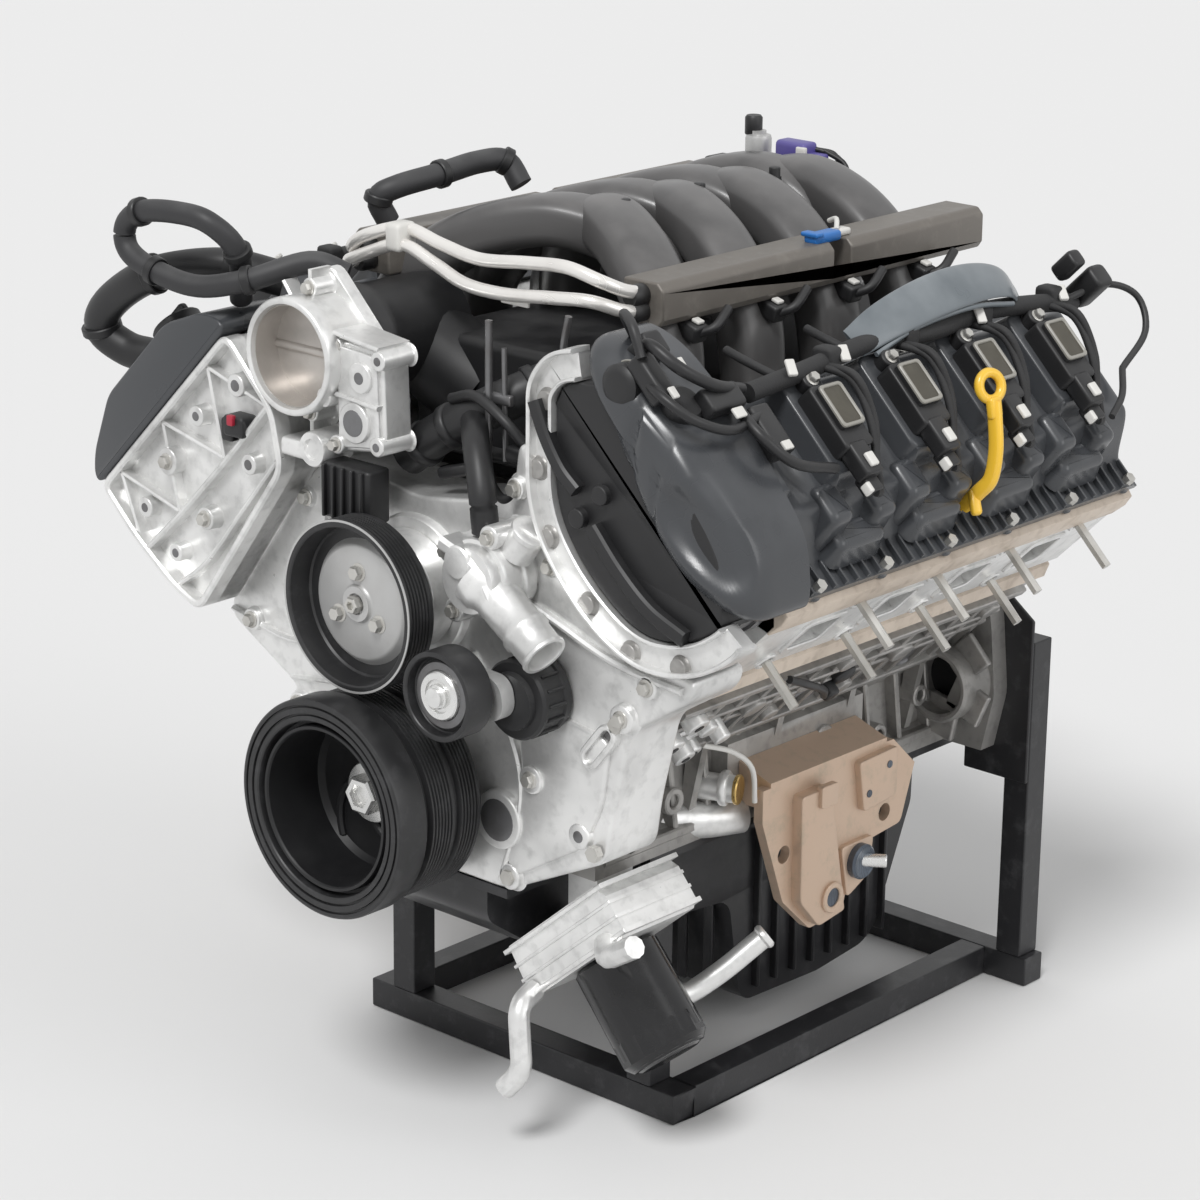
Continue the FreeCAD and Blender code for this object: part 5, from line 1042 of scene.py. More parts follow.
class V8_OT_front_cover(bpy.types.Operator):
    """Timing cover with its wing, rims, ribs, bosses and bolts, and painted shade for its holes and pockets
    """
    bl_idname = "v8.front_cover"
    bl_label = "Front cover"

    def execute(self, context):
        outline = np.vstack([[(100, -75), (208, -22), (214, 20), (232, 96), (290, 132), (296, 152)],
                             flat_view(1, [(60, 276.5), (-20, 262.5), (-90, 276.5), (-120, 306.6)]),
                             [(110, 308), (104, 262), (60, 250), (0, 240), (-60, 250), (-116, 246),
                              (-225, 108), (-228, 88), (-178, 60), (-146, 42), (-141, -20), (-108, -75)]])
        plain = slab(rounded(outline, 12, 5), BLOCK_FRONT, 558, front, 3.5)
        seal = spun([(46, 552), (46, 570), (45, 571.6), (33, 571.6), (31, 569)], 0, 0, 72)
        pump_pad = spun([(62, 550), (60, 564), (58.5, 565.8), (30, 565.8)], *PUMP_AT, 72)
        wing = np.array([(86, 228), (100, 262), (110, 320), (112, 379), (-120, 379), (-120, 300),
                         (-92, 256)], float)
        curved = rounded(wing, 14, 5)
        back = slab(curved, BLOCK_FRONT, 586, right, 3.0)
        rim = ring_plate(curved, inset(curved, 6.5), 560, 600, right, 1.6)
        add_piece("front_cover_shape", joined(plain, seal, pump_pad, back, rim), *BRIGHT_CAST,
                  ("front_cover",))
        self.wing_ribs()
        self.bosses()
        self.left_rim()
        return {"FINISHED"}

    def wing_ribs(self):
        zigzag = [(-112, 306), (-76, 372), (-36, 306), (6, 372), (46, 306), (84, 372), (106, 318)]
        ribs = [band(np.array(ends), 3.4, 582, 596.5, right, 1.2) for ends in zip(zigzag[:-1], zigzag[1:])]
        ribs.append(band(smooth([(-116, 306), (-40, 303), (40, 303), (106, 306)], 6), 5, 582, 599, right,
                         1.6))
        ribs.append(band(smooth([(-88, 268), (-20, 262), (50, 256), (94, 262)], 6), 4, 582, 597, right, 1.4))
        ribs += [post(right([v, 584, u]), FORWARD, radius, 14.5, 1.5, 28, 2.5) for v, u, radius in
                 ((-96, 340, 10), (-36, 350, 9), (24, 344, 12), (78, 332, 9), (-60, 284, 9), (20, 282, 10),
                  (74, 282, 8))]
        add_piece("front_cover_wing_ribs", joined(*ribs), *BRIGHT_CAST)
        # dark discs on the boss tops: painted shade that stands for their holes
        hole_shade_discs = [post(right([v, 598.2, u]), FORWARD, radius, 0.7, 0.3, 24) for v, u, radius in
                 ((-96, 340, 5), (-36, 350, 4), (78, 332, 4), (-60, 284, 4.5), (74, 282, 4))]
        add_piece("front_cover_wing_holes", joined(*hole_shade_discs), *HOLE_SHADE)
        heads = bolts(right([(24, 598.2, 344), (20, 598.2, 282)]))
        add_piece("front_cover_wing_bolts", heads, *BOLT)

    def bosses(self):
        panel = plate(rounded([(116, 66), (160, 92), (214, 84), (206, 26), (186, -14), (110, -60),
                               (96, -30), (120, 20)], 14, 5), 555, 562.5, front, 3.0)
        shapes = [panel]
        for x, z, radius, height in ((131, 31, 12, 9), (107, -60, 11, 8), (30, -68, 10, 8),
                                     (227, 106, 12, 9), (183, -4, 11, 8), (95, -13, 25, 9),
                                     (-107, -60, 11, 8), (-140, 30, 10, 8), (-196, 92, 10, 8),
                                     (-150, 128, 9, 6), (-96, 190, 10, 7), (-128, 214, 8, 6),
                                     (252, 138, 10, 8), (150, 214, 9, 8), (112, 270, 9, 8)):
            shapes.append(post(front([x, 556, z]), FORWARD, radius, height, 1.8, 32, 3.0))
        slot = rounded([(188, 66), (212, 96), (220, 90), (196, 60)], 8, 5)
        shapes.append(ring_plate(inset(slot, -5), slot, 556, 567, front, 1.4))
        lines = (([(-60, 246), (-104, 214), (-92, 150), (-62, 120)], 5, 563),
                 ([(-222, 96), (-150, 84), (-96, 100), (-64, 140)], 5, 563),
                 ([(62, 196), (150, 170), (214, 150), (286, 142)], 6, 564),
                 ([(60, 120), (104, 66), (118, 10), (96, -66)], 5, 564),
                 ([(-50, -40), (-104, 0), (-138, 30)], 5, 563),
                 ([(-66, 60), (-110, 56), (-150, 50)], 4, 562))
        for line, width, high in lines:
            shapes.append(band(smooth(line, 8), width, 554, high, front, 2.0))
        add_piece("front_cover_bosses", joined(*shapes), *BRIGHT_CAST)
        # dark discs on the bosses and a dark floor in the slot: painted shade that stands for holes and a
        # pocket
        pocket_shade_discs = [post(front([x, s, z]), FORWARD, radius, 0.8, 0.3, 28) for x, s, z, radius in
                  ((95, 564.6, -13, 18), (107, 563.8, -60, 4.5), (183, 563.8, -4, 5), (30, 563.8, -68, 4),
                   (-96, 562.6, 190, 5), (-150, 561.6, 128, 5))]
        pocket_shade_discs.append(plate(slot, 557, 558.6, front, 0.3))
        add_piece("front_cover_pockets", joined(*pocket_shade_discs), *HOLE_SHADE)
        heads = bolts(front([(131, 565, 31), (227, 565, 106), (-107, 564, -60), (-140, 564, 30),
                             (-196, 564, 92),
                             (252, 564, 138), (150, 564, 214), (112, 564, 270), (-128, 562, 214)]))
        add_piece("front_cover_bolts", heads, *BOLT)

    def left_rim(self):
        rim = dome_rim()
        strips = []
        for depth, width, high, edge in ((2.0, 4.0, 574.0, 1.2), (24.0, 3.4, 573.0, 1.2),
                                         (13.0, 22, 565, 1.0)):
            line = inset(rim, depth)
            strips.append(band(np.vstack([line[-16:], line[:52]]), width, 552, high, left, edge))
        add_piece("front_cover_left_rim", joined(*strips), *BRIGHT_CAST)
        places = left([(-142, 565, 352), (-108, 565, 306), (-62, 565, 276), (0, 565, 274), (52, 565, 284),
                       (88, 565, 320)])
        pads = joined(*[post(place, FORWARD, 8, 5, 1.2, 24, 2) for place in places])
        add_piece("front_cover_rim_pads", pads, "engine", "cast_bright", "grey_casting")


class V8_OT_throttle(bpy.types.Operator):
    """Throttle body with its bell mouth, gear housing, bosses and connector"""
    bl_idname = "v8.throttle"
    bl_label = "Throttle body"

    def execute(self, context):
        r = sizes_of(context)["throttle_radius"]
        x, z = THROTTLE_AT
        bell = spun([(THROTTLE_BORE, 552), (47.2, 556), (47.2, 590), (r, 594), (r, 605.6), (r - 0.7, 607.2),
                     (r - 2, 608), (r - 4, 608), (r - 5.6, 607), (THROTTLE_BORE, 602)], x, z, 96, True)
        flange = rounded([(x - 72, z), (x, z - 72), (x + 72, z), (x, z + 72)], 15, 5)
        disc = circle(THROTTLE_BORE, len(flange), (x, z), math.pi)
        mount = ring_plate(flange, disc, 548.2, 560, front, 1.5)
        gear = rounded([(x + 41, z - 74), (x + 96, z - 66), (x + 92, z + 16), (x + 40, z + 20)], 14, 5)
        housing = slab(gear, 560, 590, front, 2.5)
        lid = slab(inset(gear, 4), 589, 594, front, 1.6)
        bosses = [post(front([bx, 560, bz]), FORWARD, radius, height, 1.5, 28, 2) for bx, bz, radius, height
                  in ((-8, 357, 8, 36), (-10, 286, 8, 36), (-56, 280, 8, 36), (-58, 361, 7, 34),
                      (-28, 340, 13, 37), (-34, 302, 17, 38), (-152, 346, 8, 22), (-100, 296, 8, 22),
                      (-100, 400, 8, 22), (-66, 318, 8, 40))]
        ribs = [band(np.array(line, float), 4, 559, high, front, 1.5) for line, high in
                (([(-146, 346), (-170, 347)], 582), ([(-100, 394), (-100, 415)], 582),
                 ([(-100, 300), (-100, 279)], 582), ([(-128, 383), (-140, 398)], 574),
                 ([(-60, 372), (-8, 366)], 596), ([(-56, 322), (-8, 318)], 597))]
        add_piece("throttle_body_shape", joined(bell, mount, housing, lid, *bosses, *ribs), *BRIGHT_CAST,
                  ("throttle_body",))
        lining = spun([(THROTTLE_BORE, 560), (THROTTLE_BORE, 603), (41.6, 603), (41.6, 560)], x, z, 96, True)
        add_piece("throttle_bore_lining", lining, "engine", "cast_bright", "bore_alloy")
        # dark discs on the bosses: painted shade that stands for their holes
        caps = [post(front([bx, s, bz]), FORWARD, radius, 0.8, 0.3, 24) for bx, s, bz, radius in
                ((-34, 597.8, 302, 11), (-28, 596.8, 340, 5), (-8, 595.8, 357, 3.6), (-10, 595.8, 286, 3.6))]
        add_piece("throttle_pockets", joined(*caps), *HOLE_SHADE)
        heads = bolts(front([(-56, 596, 280), (-58, 594, 361), (-152, 582, 346), (-100, 582, 296),
                             (-100, 582, 400)]), across=8.5)
        add_piece("throttle_bolts", heads, *BOLT)
        motor = joined(spun([(15, 566), (15, 599), (14, 600.4), (9, 600.6), (8, 598)], -80, 272, 40),
                       block((-102, -584, 268), (1, 0, 0), (34, 30, 16), 3))
        add_piece("throttle_motor", motor, *BRIGHT_CAST)
        plug = joined(block((-172, -590, 274), FORWARD, (26, 24, 18), 2.5),
                      block((-186, -588, 268), FORWARD, (18, 14, 20), 2),
                      tube([(-184, -584, 262), (-196, -570, 270), (-204, -540, 300)], 5, 12))
        add_piece("throttle_connector", plug, *BLACK_PLASTIC)
        add_piece("throttle_connector_lock", block((-172, -604, 280), FORWARD, (5, 7, 9), 1), "engine",
                  "moulded_black", "clip_red")
        box = block((-42, -588, 242), (0, 0, 1), (46, 56, 26), 3, FORWARD)
        ribs = [block((-42 + 9 * k, -602, 242), (0, 0, 1), (44, 3, 5), 1, FORWARD) for k
                in (-2.4, -1.2, 0, 1.2, 2.4)]
        add_piece("sensor_block", joined(box, *ribs), *BLACK_PLASTIC)
        return {"FINISHED"}


class V8_OT_thermostat(bpy.types.Operator):
    """Thermostat housing with its cover disc, ears, strap and outlet, whose bore is a dark disc of painted
    shade
    """
    bl_idname = "v8.thermostat"
    bl_label = "Thermostat housing"

    def execute(self, context):
        drum = spun([(34, 558), (33, 562), (33, 590), (31.5, 593), (29, 594), (28.4, 600), (27, 603.6),
                     (10, 604.6)], 98, 200, 64)
        axis, root = np.array([68.0, -4.0, -44.0]), np.array([104.0, -588.0, 196.0])
        outlet = turned([(25, -6), (24, 6), (20.6, 12), (19, 18), (18.6, 50), (20.4, 53), (20.4, 57),
                         (18.6, 60), (18.4, 76), (19.8, 78.5), (19.2, 81), (16.4, 81), (15.6, 79),
                         (15.4, 30)], root, axis, 56)
        ears = [post(front([x, 560, z]), FORWARD, 10, 34, 2, 28, 2) for x, z
                in ((66, 216), (112, 236), (74, 168))]
        strap = band(smooth([(70, 226), (104, 212), (128, 180)], 8), 12, 585, 607, front, 3)
        web = slab(rounded([(60, 158), (76, 240), (122, 244), (138, 190), (104, 160)], 14, 5), 560, 574,
                   front, 2.5)
        cap = spun([(14, 600), (14, 606), (12.6, 607.6), (5, 608)], 90, 214, 40)
        side = turned([(15, 0), (14, 20), (16, 22), (16, 26), (13, 28)], (122, -572, 222), (0.6, 0, 0.8), 36)
        add_piece("thermostat_shape", joined(drum, outlet, *ears, strap, web, cap, side), *BRIGHT_CAST,
                  ("thermostat_housing",))
        # a near-black disc inside the outlet: painted shade that stands for its bore
        mouth = turned([(15.7, 34), (15.7, 36)], root, axis, 48)
        add_piece("thermostat_mouth", mouth, *DEEP_HOLE_SHADE)
        heads = bolts(front([(66, 594, 216), (112, 594, 236), (74, 594, 168)]), across=9)
        add_piece("thermostat_bolts", heads, *BOLT)
        return {"FINISHED"}


# ---------------------------------------------------------------- top of the engine

class V8_OT_intake(bpy.types.Operator):
    """Intake manifold: eight arched runners over the plenum, its neck and its flanges"""
    bl_idname = "v8.intake"
    bl_label = "Intake manifold"

    def execute(self, context):
        size = sizes_of(context)
        for side in (1, -1):
            arches = [self.runner(side, index, size["runner_width"], size["runner_depth"])
                      for index in range(4)]
            add_piece(BANK_NAME[side] + "_intake_runners", joined(*arches), "engine", "moulded_black",
                      "runner_plastic", ("intake_manifold",) if side > 0 else (), 50)
            self.flange(side)
        plenum = slab(rounded([(-90, 237), (90, 237), (98, 300), (88, 352), (-88, 352), (-94, 300)], 16, 5),
                      70, 470, front, 8)
        neck = spun([(30, 430), (44, 436), (45.5, 446), (45.5, 520), (48, 524), (48, 531), (45.5, 535),
                     (46, 547.8), (41.5, 547.8), (41.5, 500)], *THROTTLE_AT, 72)
        shoulder = tube(front([(-40, 440, 300), (-70, 452, 322), (-94, 466, 342), (-100, 492, 347)]), 42,
                        32, steps=6)
        ribs = [block((0, -70 - 40 * k, 262), (1, 0, 0), (196, 5, 48), 1.5, FORWARD) for k in range(11)]
        add_piece("intake_plenum", joined(plenum, neck, shoulder, *ribs), *BLACK_PLASTIC)
        ties = []
        for s in (150, 250, 345):
            ties.append(band(np.array([(-40, 438), (34, 446)]), 7, s - 5, s + 5, front, 1.5))
            ties.append(post((30, -s, 436), (0, 0, 1), 5, 22, 1.2, 20, 2))
        add_piece("intake_ties", joined(*ties), *BLACK_PLASTIC)
        return {"FINISHED"}

    def runner(self, side, index, width, depth):
        """A rounded section carried over the arch; the arch slants rearwards as it crosses the engine."""
        line = smooth([(146, 292), (146, 330), (137, 368), (108, 403), (66, 427), (14, 437), (-34, 422),
                       (-60, 384), (-64, 340)], 7)
        station = bores(side)[index]
        slant = (17 + 19 * index) / 145
        path = front(np.stack([side * line[:, 0], station - (130 - line[:, 0]) * slant, line[:, 1]], 1))
        t = np.linspace(0, 1, len(path))[:, None, None]
        grow = 0.9 + 0.1 * np.sin(math.pi * np.clip(t * 1.15, 0, 1))
        return swept(path, superellipse(depth / 2, width / 2)[None] * grow, (0, 1, 0))

    def flange(self, side):
        rear = COVER_REAR[side] + 22
        low, high = sorted((side * 118, side * 166))
        foot = slab(box_outline(low, high, 284, 304, 5), rear, rear + 410, front, 3)
        ears = [post((side * x, -(rear + 36 + 100 * k), 300), (0, 0, 1), 8, 12, 1.5, 24, 2) for k
                in range(4) for x in (122, 160)]
        add_piece(BANK_NAME[side] + "_intake_flange", joined(foot, *ears), *BLACK_PLASTIC)
        heads = bolts(np.array([(side * x, -(rear + 36 + 100 * k), 311) for k in range(4) for x
                                in (122, 160)], float), (0, 0, 1), 8)
        add_piece(BANK_NAME[side] + "_intake_bolts", heads, *BOLT)


class V8_OT_fuel(bpy.types.Operator):
    """Fuel rails, their crossing pipes, clips, injector plugs and the valve at the rear"""
    bl_idname = "v8.fuel"
    bl_label = "Fuel system"

    def execute(self, context):
        r = sizes_of(context)["pipe_radius"]
        upper = front([(-143, 469, 412), (-144, 490, 413), (-118, 500, 428), (-80, 492, 439),
                       (-40, 490, 431), (5, 492, 426),
                       (60, 495, 432), (104, 498, 436), (134, 492, 429), (144, 474, 420), (143, 451, 414)])
        lower = front([(-143, 469, 400), (-144, 494, 402), (-110, 502, 416), (-75, 500, 427),
                       (-40, 498, 416), (-6, 498, 405),
                       (38, 500, 404), (92, 502, 410), (128, 496, 412), (144, 476, 404), (143, 451, 399)])
        add_piece("fuel_pipes_shape", joined(tube(upper, r, 20), tube(lower, r, 20)), "engine", "pipe_steel",
                  "pipe_nickel", ("fuel_pipes",), 50)
        ties = joined(block((-80, -497, 433), (1, 0, 0), (16, 22, 24), 3),
                      block((38, -499, 417), (0, 0, 1), (34, 3, 12), 1),
                      block((52, -500, 402), (1, 0, 0), (30, 3, 10), 1))
        add_piece("fuel_pipe_ties", ties, *WHITE_CLIP)
        collars = [turned([(8, 0), (9, 2), (9, 14), (7.5, 17)], (side * 143, -s, z), FORWARD, 24)
                   for side, s in ((1, 449), (-1, 468)) for z in (400, 413)]
        add_piece("fuel_pipe_collars", joined(*collars), *BLACK_PLASTIC)
        softened("fuel_rails_shape", "fuel_rails", "engine", "rail_paint", 2.2)
        add_piece("fuel_rail_clip_blue", joined(block((150, -232, 427), FORWARD, (34, 15, 9), 3),
                                                block((150, -246, 431), FORWARD, (10, 18, 4), 1.5)),
                  "engine", "moulded_black", "clip_blue")
        tail = tube(front([(150, 214, 430), (140, 202, 436), (128, 196, 432)]), 2.2, 10)
        add_piece("fuel_rail_clip_pale", joined(block((146, -206, 427), FORWARD, (20, 12, 6), 2), tail),
                  *WHITE_CLIP)
        plugs, locks = [], []
        for side in (1, -1):
            for y in (-s for s in bores(side)):
                plugs.append(block((side * 160, y, 380), (side, 0, -0.3), (22, 18, 15), 2.5))
                plugs.append(tube([(side * 168, y, 378), (side * 178, y + 8, 384),
                                   (side * 176, y + 26, 396)], 4, 12))
                locks.append(block((side * 166, y, 388), (side, 0, -0.3), (8, 8, 3), 1))
        add_piece("injector_plugs", joined(*plugs), *BLACK_PLASTIC)
        add_piece("injector_plug_locks", joined(*locks), *WHITE_CLIP)
        self.rear_valve()
        return {"FINISHED"}

    def rear_valve(self):
        can = turned([(11, 0), (12, 2), (12, 30), (11, 33), (7, 34), (7, 37)], (-66, -56, 428),
                     (0, 0, 1), 40)
        neck = tube(front([(-66, 52, 434), (-82, 50, 430), (-92, 52, 420)]), 5, 16)
        add_piece("purge_valve_can", joined(can, neck), "engine", "pipe_steel", "satin_steel")
        black = joined(turned([(7, 0), (8, 1.5), (8, 16), (6.5, 18)], (-72, -56, 460), (0, 0, 1), 28),
                       block((-20, -54, 422), (1, 0, 0), (112, 26, 9), 3),
                       block((-98, -58, 430), (1, 0, 0), (40, 30, 14), 4),
                       block((8, -54, 430), (0, 0, 1), (26, 20, 16), 2.5),
                       *[tube(front([(-8 + 5 * k, 46, 454), (10 + 5 * k, 40, 450 - 3 * k),
                                     (18 + 4 * k, 44, 430),
                                     (12 + 4 * k, 52, 414)]), 2.4, 10) for k in range(3)],
                       tube(front([(-36, 60, 430), (-20, 76, 442), (6, 82, 440), (26, 74, 424)]), 6, 16))
        add_piece("purge_valve_mount", black, *BLACK_PLASTIC)
        add_piece("purge_valve_plug", joined(block((-24, -54, 448), (1, 0, 0), (34, 20, 26), 3),
                                             block((-2, -52, 444), (1, 0, 0), (18, 14, 16), 2)),
                  "engine", "moulded_black", "clip_violet")
        add_piece("purge_valve_locks", joined(block((-10, -64, 454), (1, 0, 0), (10, 5, 8), 1),
                                              block((4, -63, 436), (1, 0, 0), (9, 5, 9), 1)), *WHITE_CLIP)


class V8_OT_hoses(bpy.types.Operator):
    """Breather loop and duct, vapour hose and the coolant pipe over the case, with their ends and clips"""
    bl_idname = "v8.hoses"
    bl_label = "Hoses"

    def execute(self, context):
        r = sizes_of(context)["hose_radius"]
        loop = front([(-205, 560, 370), (-184, 582, 416), (-196, 602, 442), (-232, 606, 446),
                      (-276, 606, 440), (-298, 604, 424), (-294, 604, 404), (-262, 604, 392),
                      (-214, 600, 386), (-168, 586, 396), (-132, 550, 411), (-106, 532, 402)])
        vapour = front([(-146, 446, 428), (-149, 454, 448), (-138, 442, 458), (-129, 400, 464),
                        (-132, 352, 467), (-122, 328, 466), (-107, 324, 447)])
        rubber = joined(tube(loop, r, 22), tube(vapour, r + 0.5, 22))
        add_piece("breather_hoses", rubber, "engine", "rubber_black", "hose_rubber", ("hoses",), 60)
        duct = front([(-322, 556, 300), (-350, 562, 303), (-370, 572, 320), (-352, 575, 347),
                      (-300, 572, 378), (-240, 548, 391), (-202, 514, 380)])
        add_piece("breather_duct", joined(tube(duct, 15.2, 28),
                                          turned([(17, 0), (18, 2), (18, 14), (16.5, 16)], duct[-2],
                                                 duct[-1] - duct[-2], 32)), *STIFF_HOSE, (), 60)
        coolant = front([(84, 484, 340), (60, 519, 324), (8, 537, 292), (-28, 541, 266)])
        path = smooth(coolant, 12)
        collar = [turned([(17.6, -5), (19.6, -3.5), (19.6, 3.5), (17.6, 5)], path[k], path[k + 1] - path[k],
                         32) for k in (6, 22, 30)]
        branch = front([(98, 582, 236), (96, 584, 268), (72, 566, 300), (34, 529, 309)])
        add_piece("coolant_pipe", joined(tube(coolant, 17.2, 32, steps=12), tube(branch, 11.2, 24),
                                         *collar), *STIFF_HOSE, (), 60)
        grips = []
        clamped = ((loop, (1, 4, 7, 9), 11.5), (vapour, (1, 3, 5), 11.6), (duct, (2, 4), 17))
        for line, places, size in clamped:
            for k in places:
                grips.append(turned([(size, -4), (size + 0.8, -3), (size + 0.8, 3), (size, 4)], line[k],
                                    line[k + 1] - line[k - 1], 24))
        add_piece("hose_clips", joined(*grips), *BLACK_PLASTIC)
        pegs = [tube(front([(61, 540, 263), (61, 540, 393)]), 3.2, 14, (0, 1, 0), 2),
                tube(front([(76, 536, 280), (74, 536, 372)]), 2.4, 12, (0, 1, 0), 2),
                tube(front([(118, 512, 330), (122, 520, 372), (128, 520, 404)]), 3, 12, (0, 1, 0), 4),
                block((68, -536, 330), (1, 0, 0), (30, 6, 9), 1.5)]
        add_piece("front_pegs", joined(*pegs), "engine", "fastener_steel", "dark_steel")
        clutter = [block((92, -500, 300), (0, 0, 1), (40, 30, 26), 3),
                   block((104, -540, 290), (1, 0, 0), (36, 18, 14), 3),
                   tube(front([(104, 540, 296), (84, 548, 318), (50, 544, 330), (20, 540, 322)]), 4.5, 14),
                   tube(front([(70, 552, 270), (92, 556, 256), (110, 552, 268), (120, 536, 290)]), 4, 12),
                   block((40, -548, 268), (1, 0, 0.3), (46, 14, 10), 2)]
        add_piece("front_wiring", joined(*clutter), "engine", "loom_black", "dark_plastic")
        return {"FINISHED"}


class V8_OT_coils(bpy.types.Operator):
    """Ignition coils with brass-coloured tops, plugs, bolts, the loom beside them and its shield"""
    bl_idname = "v8.coils"
    bl_label = "Coils and wiring"

    def execute(self, context):
        top = sizes_of(context)["coil_top"]
        for side in (1, -1):
            self.row(side, top)
            self.loom(side)
        self.shield()
        self.front_corner()
        return {"FINISHED"}

    def row(self, side, top):
        up = bank(side, [0, 0, 1])
        out = bank(side, [1, 0, 0])
        bodies, tops, rims, locks, lumps, heads = [], [], [], [], [], []
        for s in bores(side):
            place = raised(side)
            bodies.append(plate(box_outline(-47, 12, s - 17, s + 17, 5), 440, top - 4, place, 2.5))
            bodies.append(plate(box_outline(-43, -4, s - 13.5, s + 13.5, 4), top - 5, top + 1, place, 1.0))
            bodies.append(block(bank(side, [22, s + 4, 455]), out, (30, 20, 17), 2.5, up))
            bodies.append(block(bank(side, [40, s + 4, 449]), out, (16, 15, 13), 2, up))
            bodies.append(post(bank(side, [-55, s, 436]), up, 9, 20, 2, 24, 2))
            rims.append(ring_plate(box_outline(-43, -4, s - 13.5, s + 13.5, 4),
                                   box_outline(-40, -7, s - 10.5, s + 10.5, 3), top, top + 2.4, place, 0.8))
            tops.append(plate(box_outline(-40, -7, s - 10.5, s + 10.5, 3), top - 1, top + 1.3, place, 0.4))
            locks.append(block(bank(side, [26, s + 4, 465]), out, (12, 9, 4), 1.2, up))
            locks.append(block(bank(side, [44, s + 12, 452]), out, (9, 5, 9), 1.2, up))
            heads.append(bank(side, [-55, s, 455.6]))
            for low, high, v_low, v_high, height in ((-40, -12, 24, 60, 430), (14, 42, 20, 56, 433),
                                                     (-30, 30, 46, 72, 414)):
                lumps.append(plate(box_outline(v_low, v_high, s + low, s + high, 9, 5), 392, height, place,
                                   8, 6, -6))
            lumps.append(plate(box_outline(-68, 22, s - 24, s + 24, 10, 5), 424, 445, place, 3.5, 4, -5))
        name = BANK_NAME[side]
        add_piece(name + "_coils", joined(*bodies), *BLACK_PLASTIC, ("ignition_coils",) if side > 0 else ())
        add_piece(name + "_coil_tops", joined(*tops), "engine", "moulded_black", "brass_top")
        add_piece(name + "_coil_rims", joined(*rims), *PALE_EDGE)
        add_piece(name + "_coil_locks", joined(*locks), *WHITE_CLIP)
        add_piece(name + "_coil_bolts", bolts(np.array(heads), up, 8), *BOLT)
        add_piece(name + "_cover_lumps", joined(*lumps), *COVER_PLASTIC, (), 60)

    def loom(self, side):
        shift = BANK_SHIFT[side]
        main = bank(side, [(-62, 474 + shift, 447), (-66, 400 + shift, 452), (-74, 320 + shift, 450),
                           (-68, 240 + shift, 454),
                           (-74, 160 + shift, 451), (-66, 90 + shift, 453), (-62, 42 + shift, 446)])
        shapes = [tube(main, 8, 20)]
        for s in bores(side):
            for wander in (0, 5):
                shapes.append(tube(bank(side, [(-66, s - 22 - wander, 452), (-40, s - 26, 468 + wander),
                                               (-6, s - 25 - wander, 462), (22, s - 20, 450),
                                               (46, s - 8, 446), (48, s + 2, 449)]), 3.2, 12))
            shapes.append(tube(bank(side, [(-66, s + 30, 452), (-92, s + 34, 438), (-112, s + 30, 424)]),
                               3.6, 12))
            shapes.append(block(bank(side, [-70, s - 34, 453]), FORWARD, (16, 20, 20), 3))
        name = BANK_NAME[side]
        add_piece(name + "_loom", joined(*shapes), "engine", "loom_black", "loom_tape",
                  ("wiring_harness",) if side > 0 else (), 60)
        tags = [block(bank(side, [-66, s, 463]), bank(side, [1, 0.4, 0]), (15, 8, 4), 1.2)
                for s in (432 + shift, 366 + shift, 186 + shift, 70 + shift)]
        add_piece(name + "_loom_tags", joined(*tags), *WHITE_CLIP)

    def shield(self):
        path = left(smooth([(-78, 330, 448), (-84, 296, 462), (-90, 240, 471), (-92, 184, 473),
                            (-88, 140, 468), (-80, 112, 452)], 8))
        section = superellipse(19, 3.2, 28, 0.9)
        t = np.linspace(0, 1, len(path))[:, None, None]
        swell = 0.55 + 0.45 * np.sin(math.pi * (0.1 + 0.85 * t))
        shape = swept(path, section[None] * swell, left([0, 0, 1]))
        lip = tube(left([(-62, 318, 452), (-70, 270, 464), (-72, 200, 470), (-68, 140, 464)]), 2.2, 12)
        add_piece("left_loom_shield", joined(shape, lip), "engine", "moulded_black", "shield_plastic",
                  (), 50)

    def front_corner(self):
        """Cam timing sensors and plugs on the left cover's front upper corner."""
        out = left([1, 0, 0])
        up = left([0, 0, 1])
        sensor = [(16, 0), (17, 2), (17, 14), (14, 17), (10, 18)]
        black = [turned(sensor, left([-104, 560, 428]), FORWARD, 36),
                 turned([(15, 0), (16, 2), (16, 12), (13, 15)], left([-66, 548, 440]), up, 36),
                 block(left([-92, 566, 452]), out, (40, 18, 18), 3, up),
                 block(left([-58, 520, 458]), FORWARD, (40, 22, 16), 3, up),
                 block(left([-120, 540, 440]), up, (30, 20, 22), 3),
                 block(left([-24, 486, 452]), out, (44, 22, 18), 3, up)]
        wires = (
            ([(-120, 556, 452), (-110, 566, 470), (-84, 560, 476), (-66, 530, 470), (-64, 486, 454)], 5, 14),
            ([(-90, 570, 450), (-70, 578, 462), (-44, 566, 466), (-30, 530, 462), (-40, 480, 456)], 4, 12),
            ([(-140, 530, 430), (-150, 552, 452), (-132, 570, 468), (-106, 574, 462)], 4, 12),
            ([(-60, 500, 452), (-20, 512, 466), (10, 490, 462), (20, 440, 452)], 4.4, 14),
            ([(-64, 60, 450), (-60, 20, 470), (-40, -4, 474), (-10, 4, 466), (10, 40, 450)], 3, 12),
            ([(10, 40, 450), (34, 66, 452), (48, 90, 448)], 3, 12),
        )
        black += [tube(left(path), radius, sides) for path, radius, sides in wires]
        black += [block(left([-66, 30, 462]), up, (36, 22, 22), 4),
                  block(left([-86, 50, 470]), up, (26, 16, 16), 3)]
        add_piece("left_front_plugs", joined(*black), *BLACK_PLASTIC)
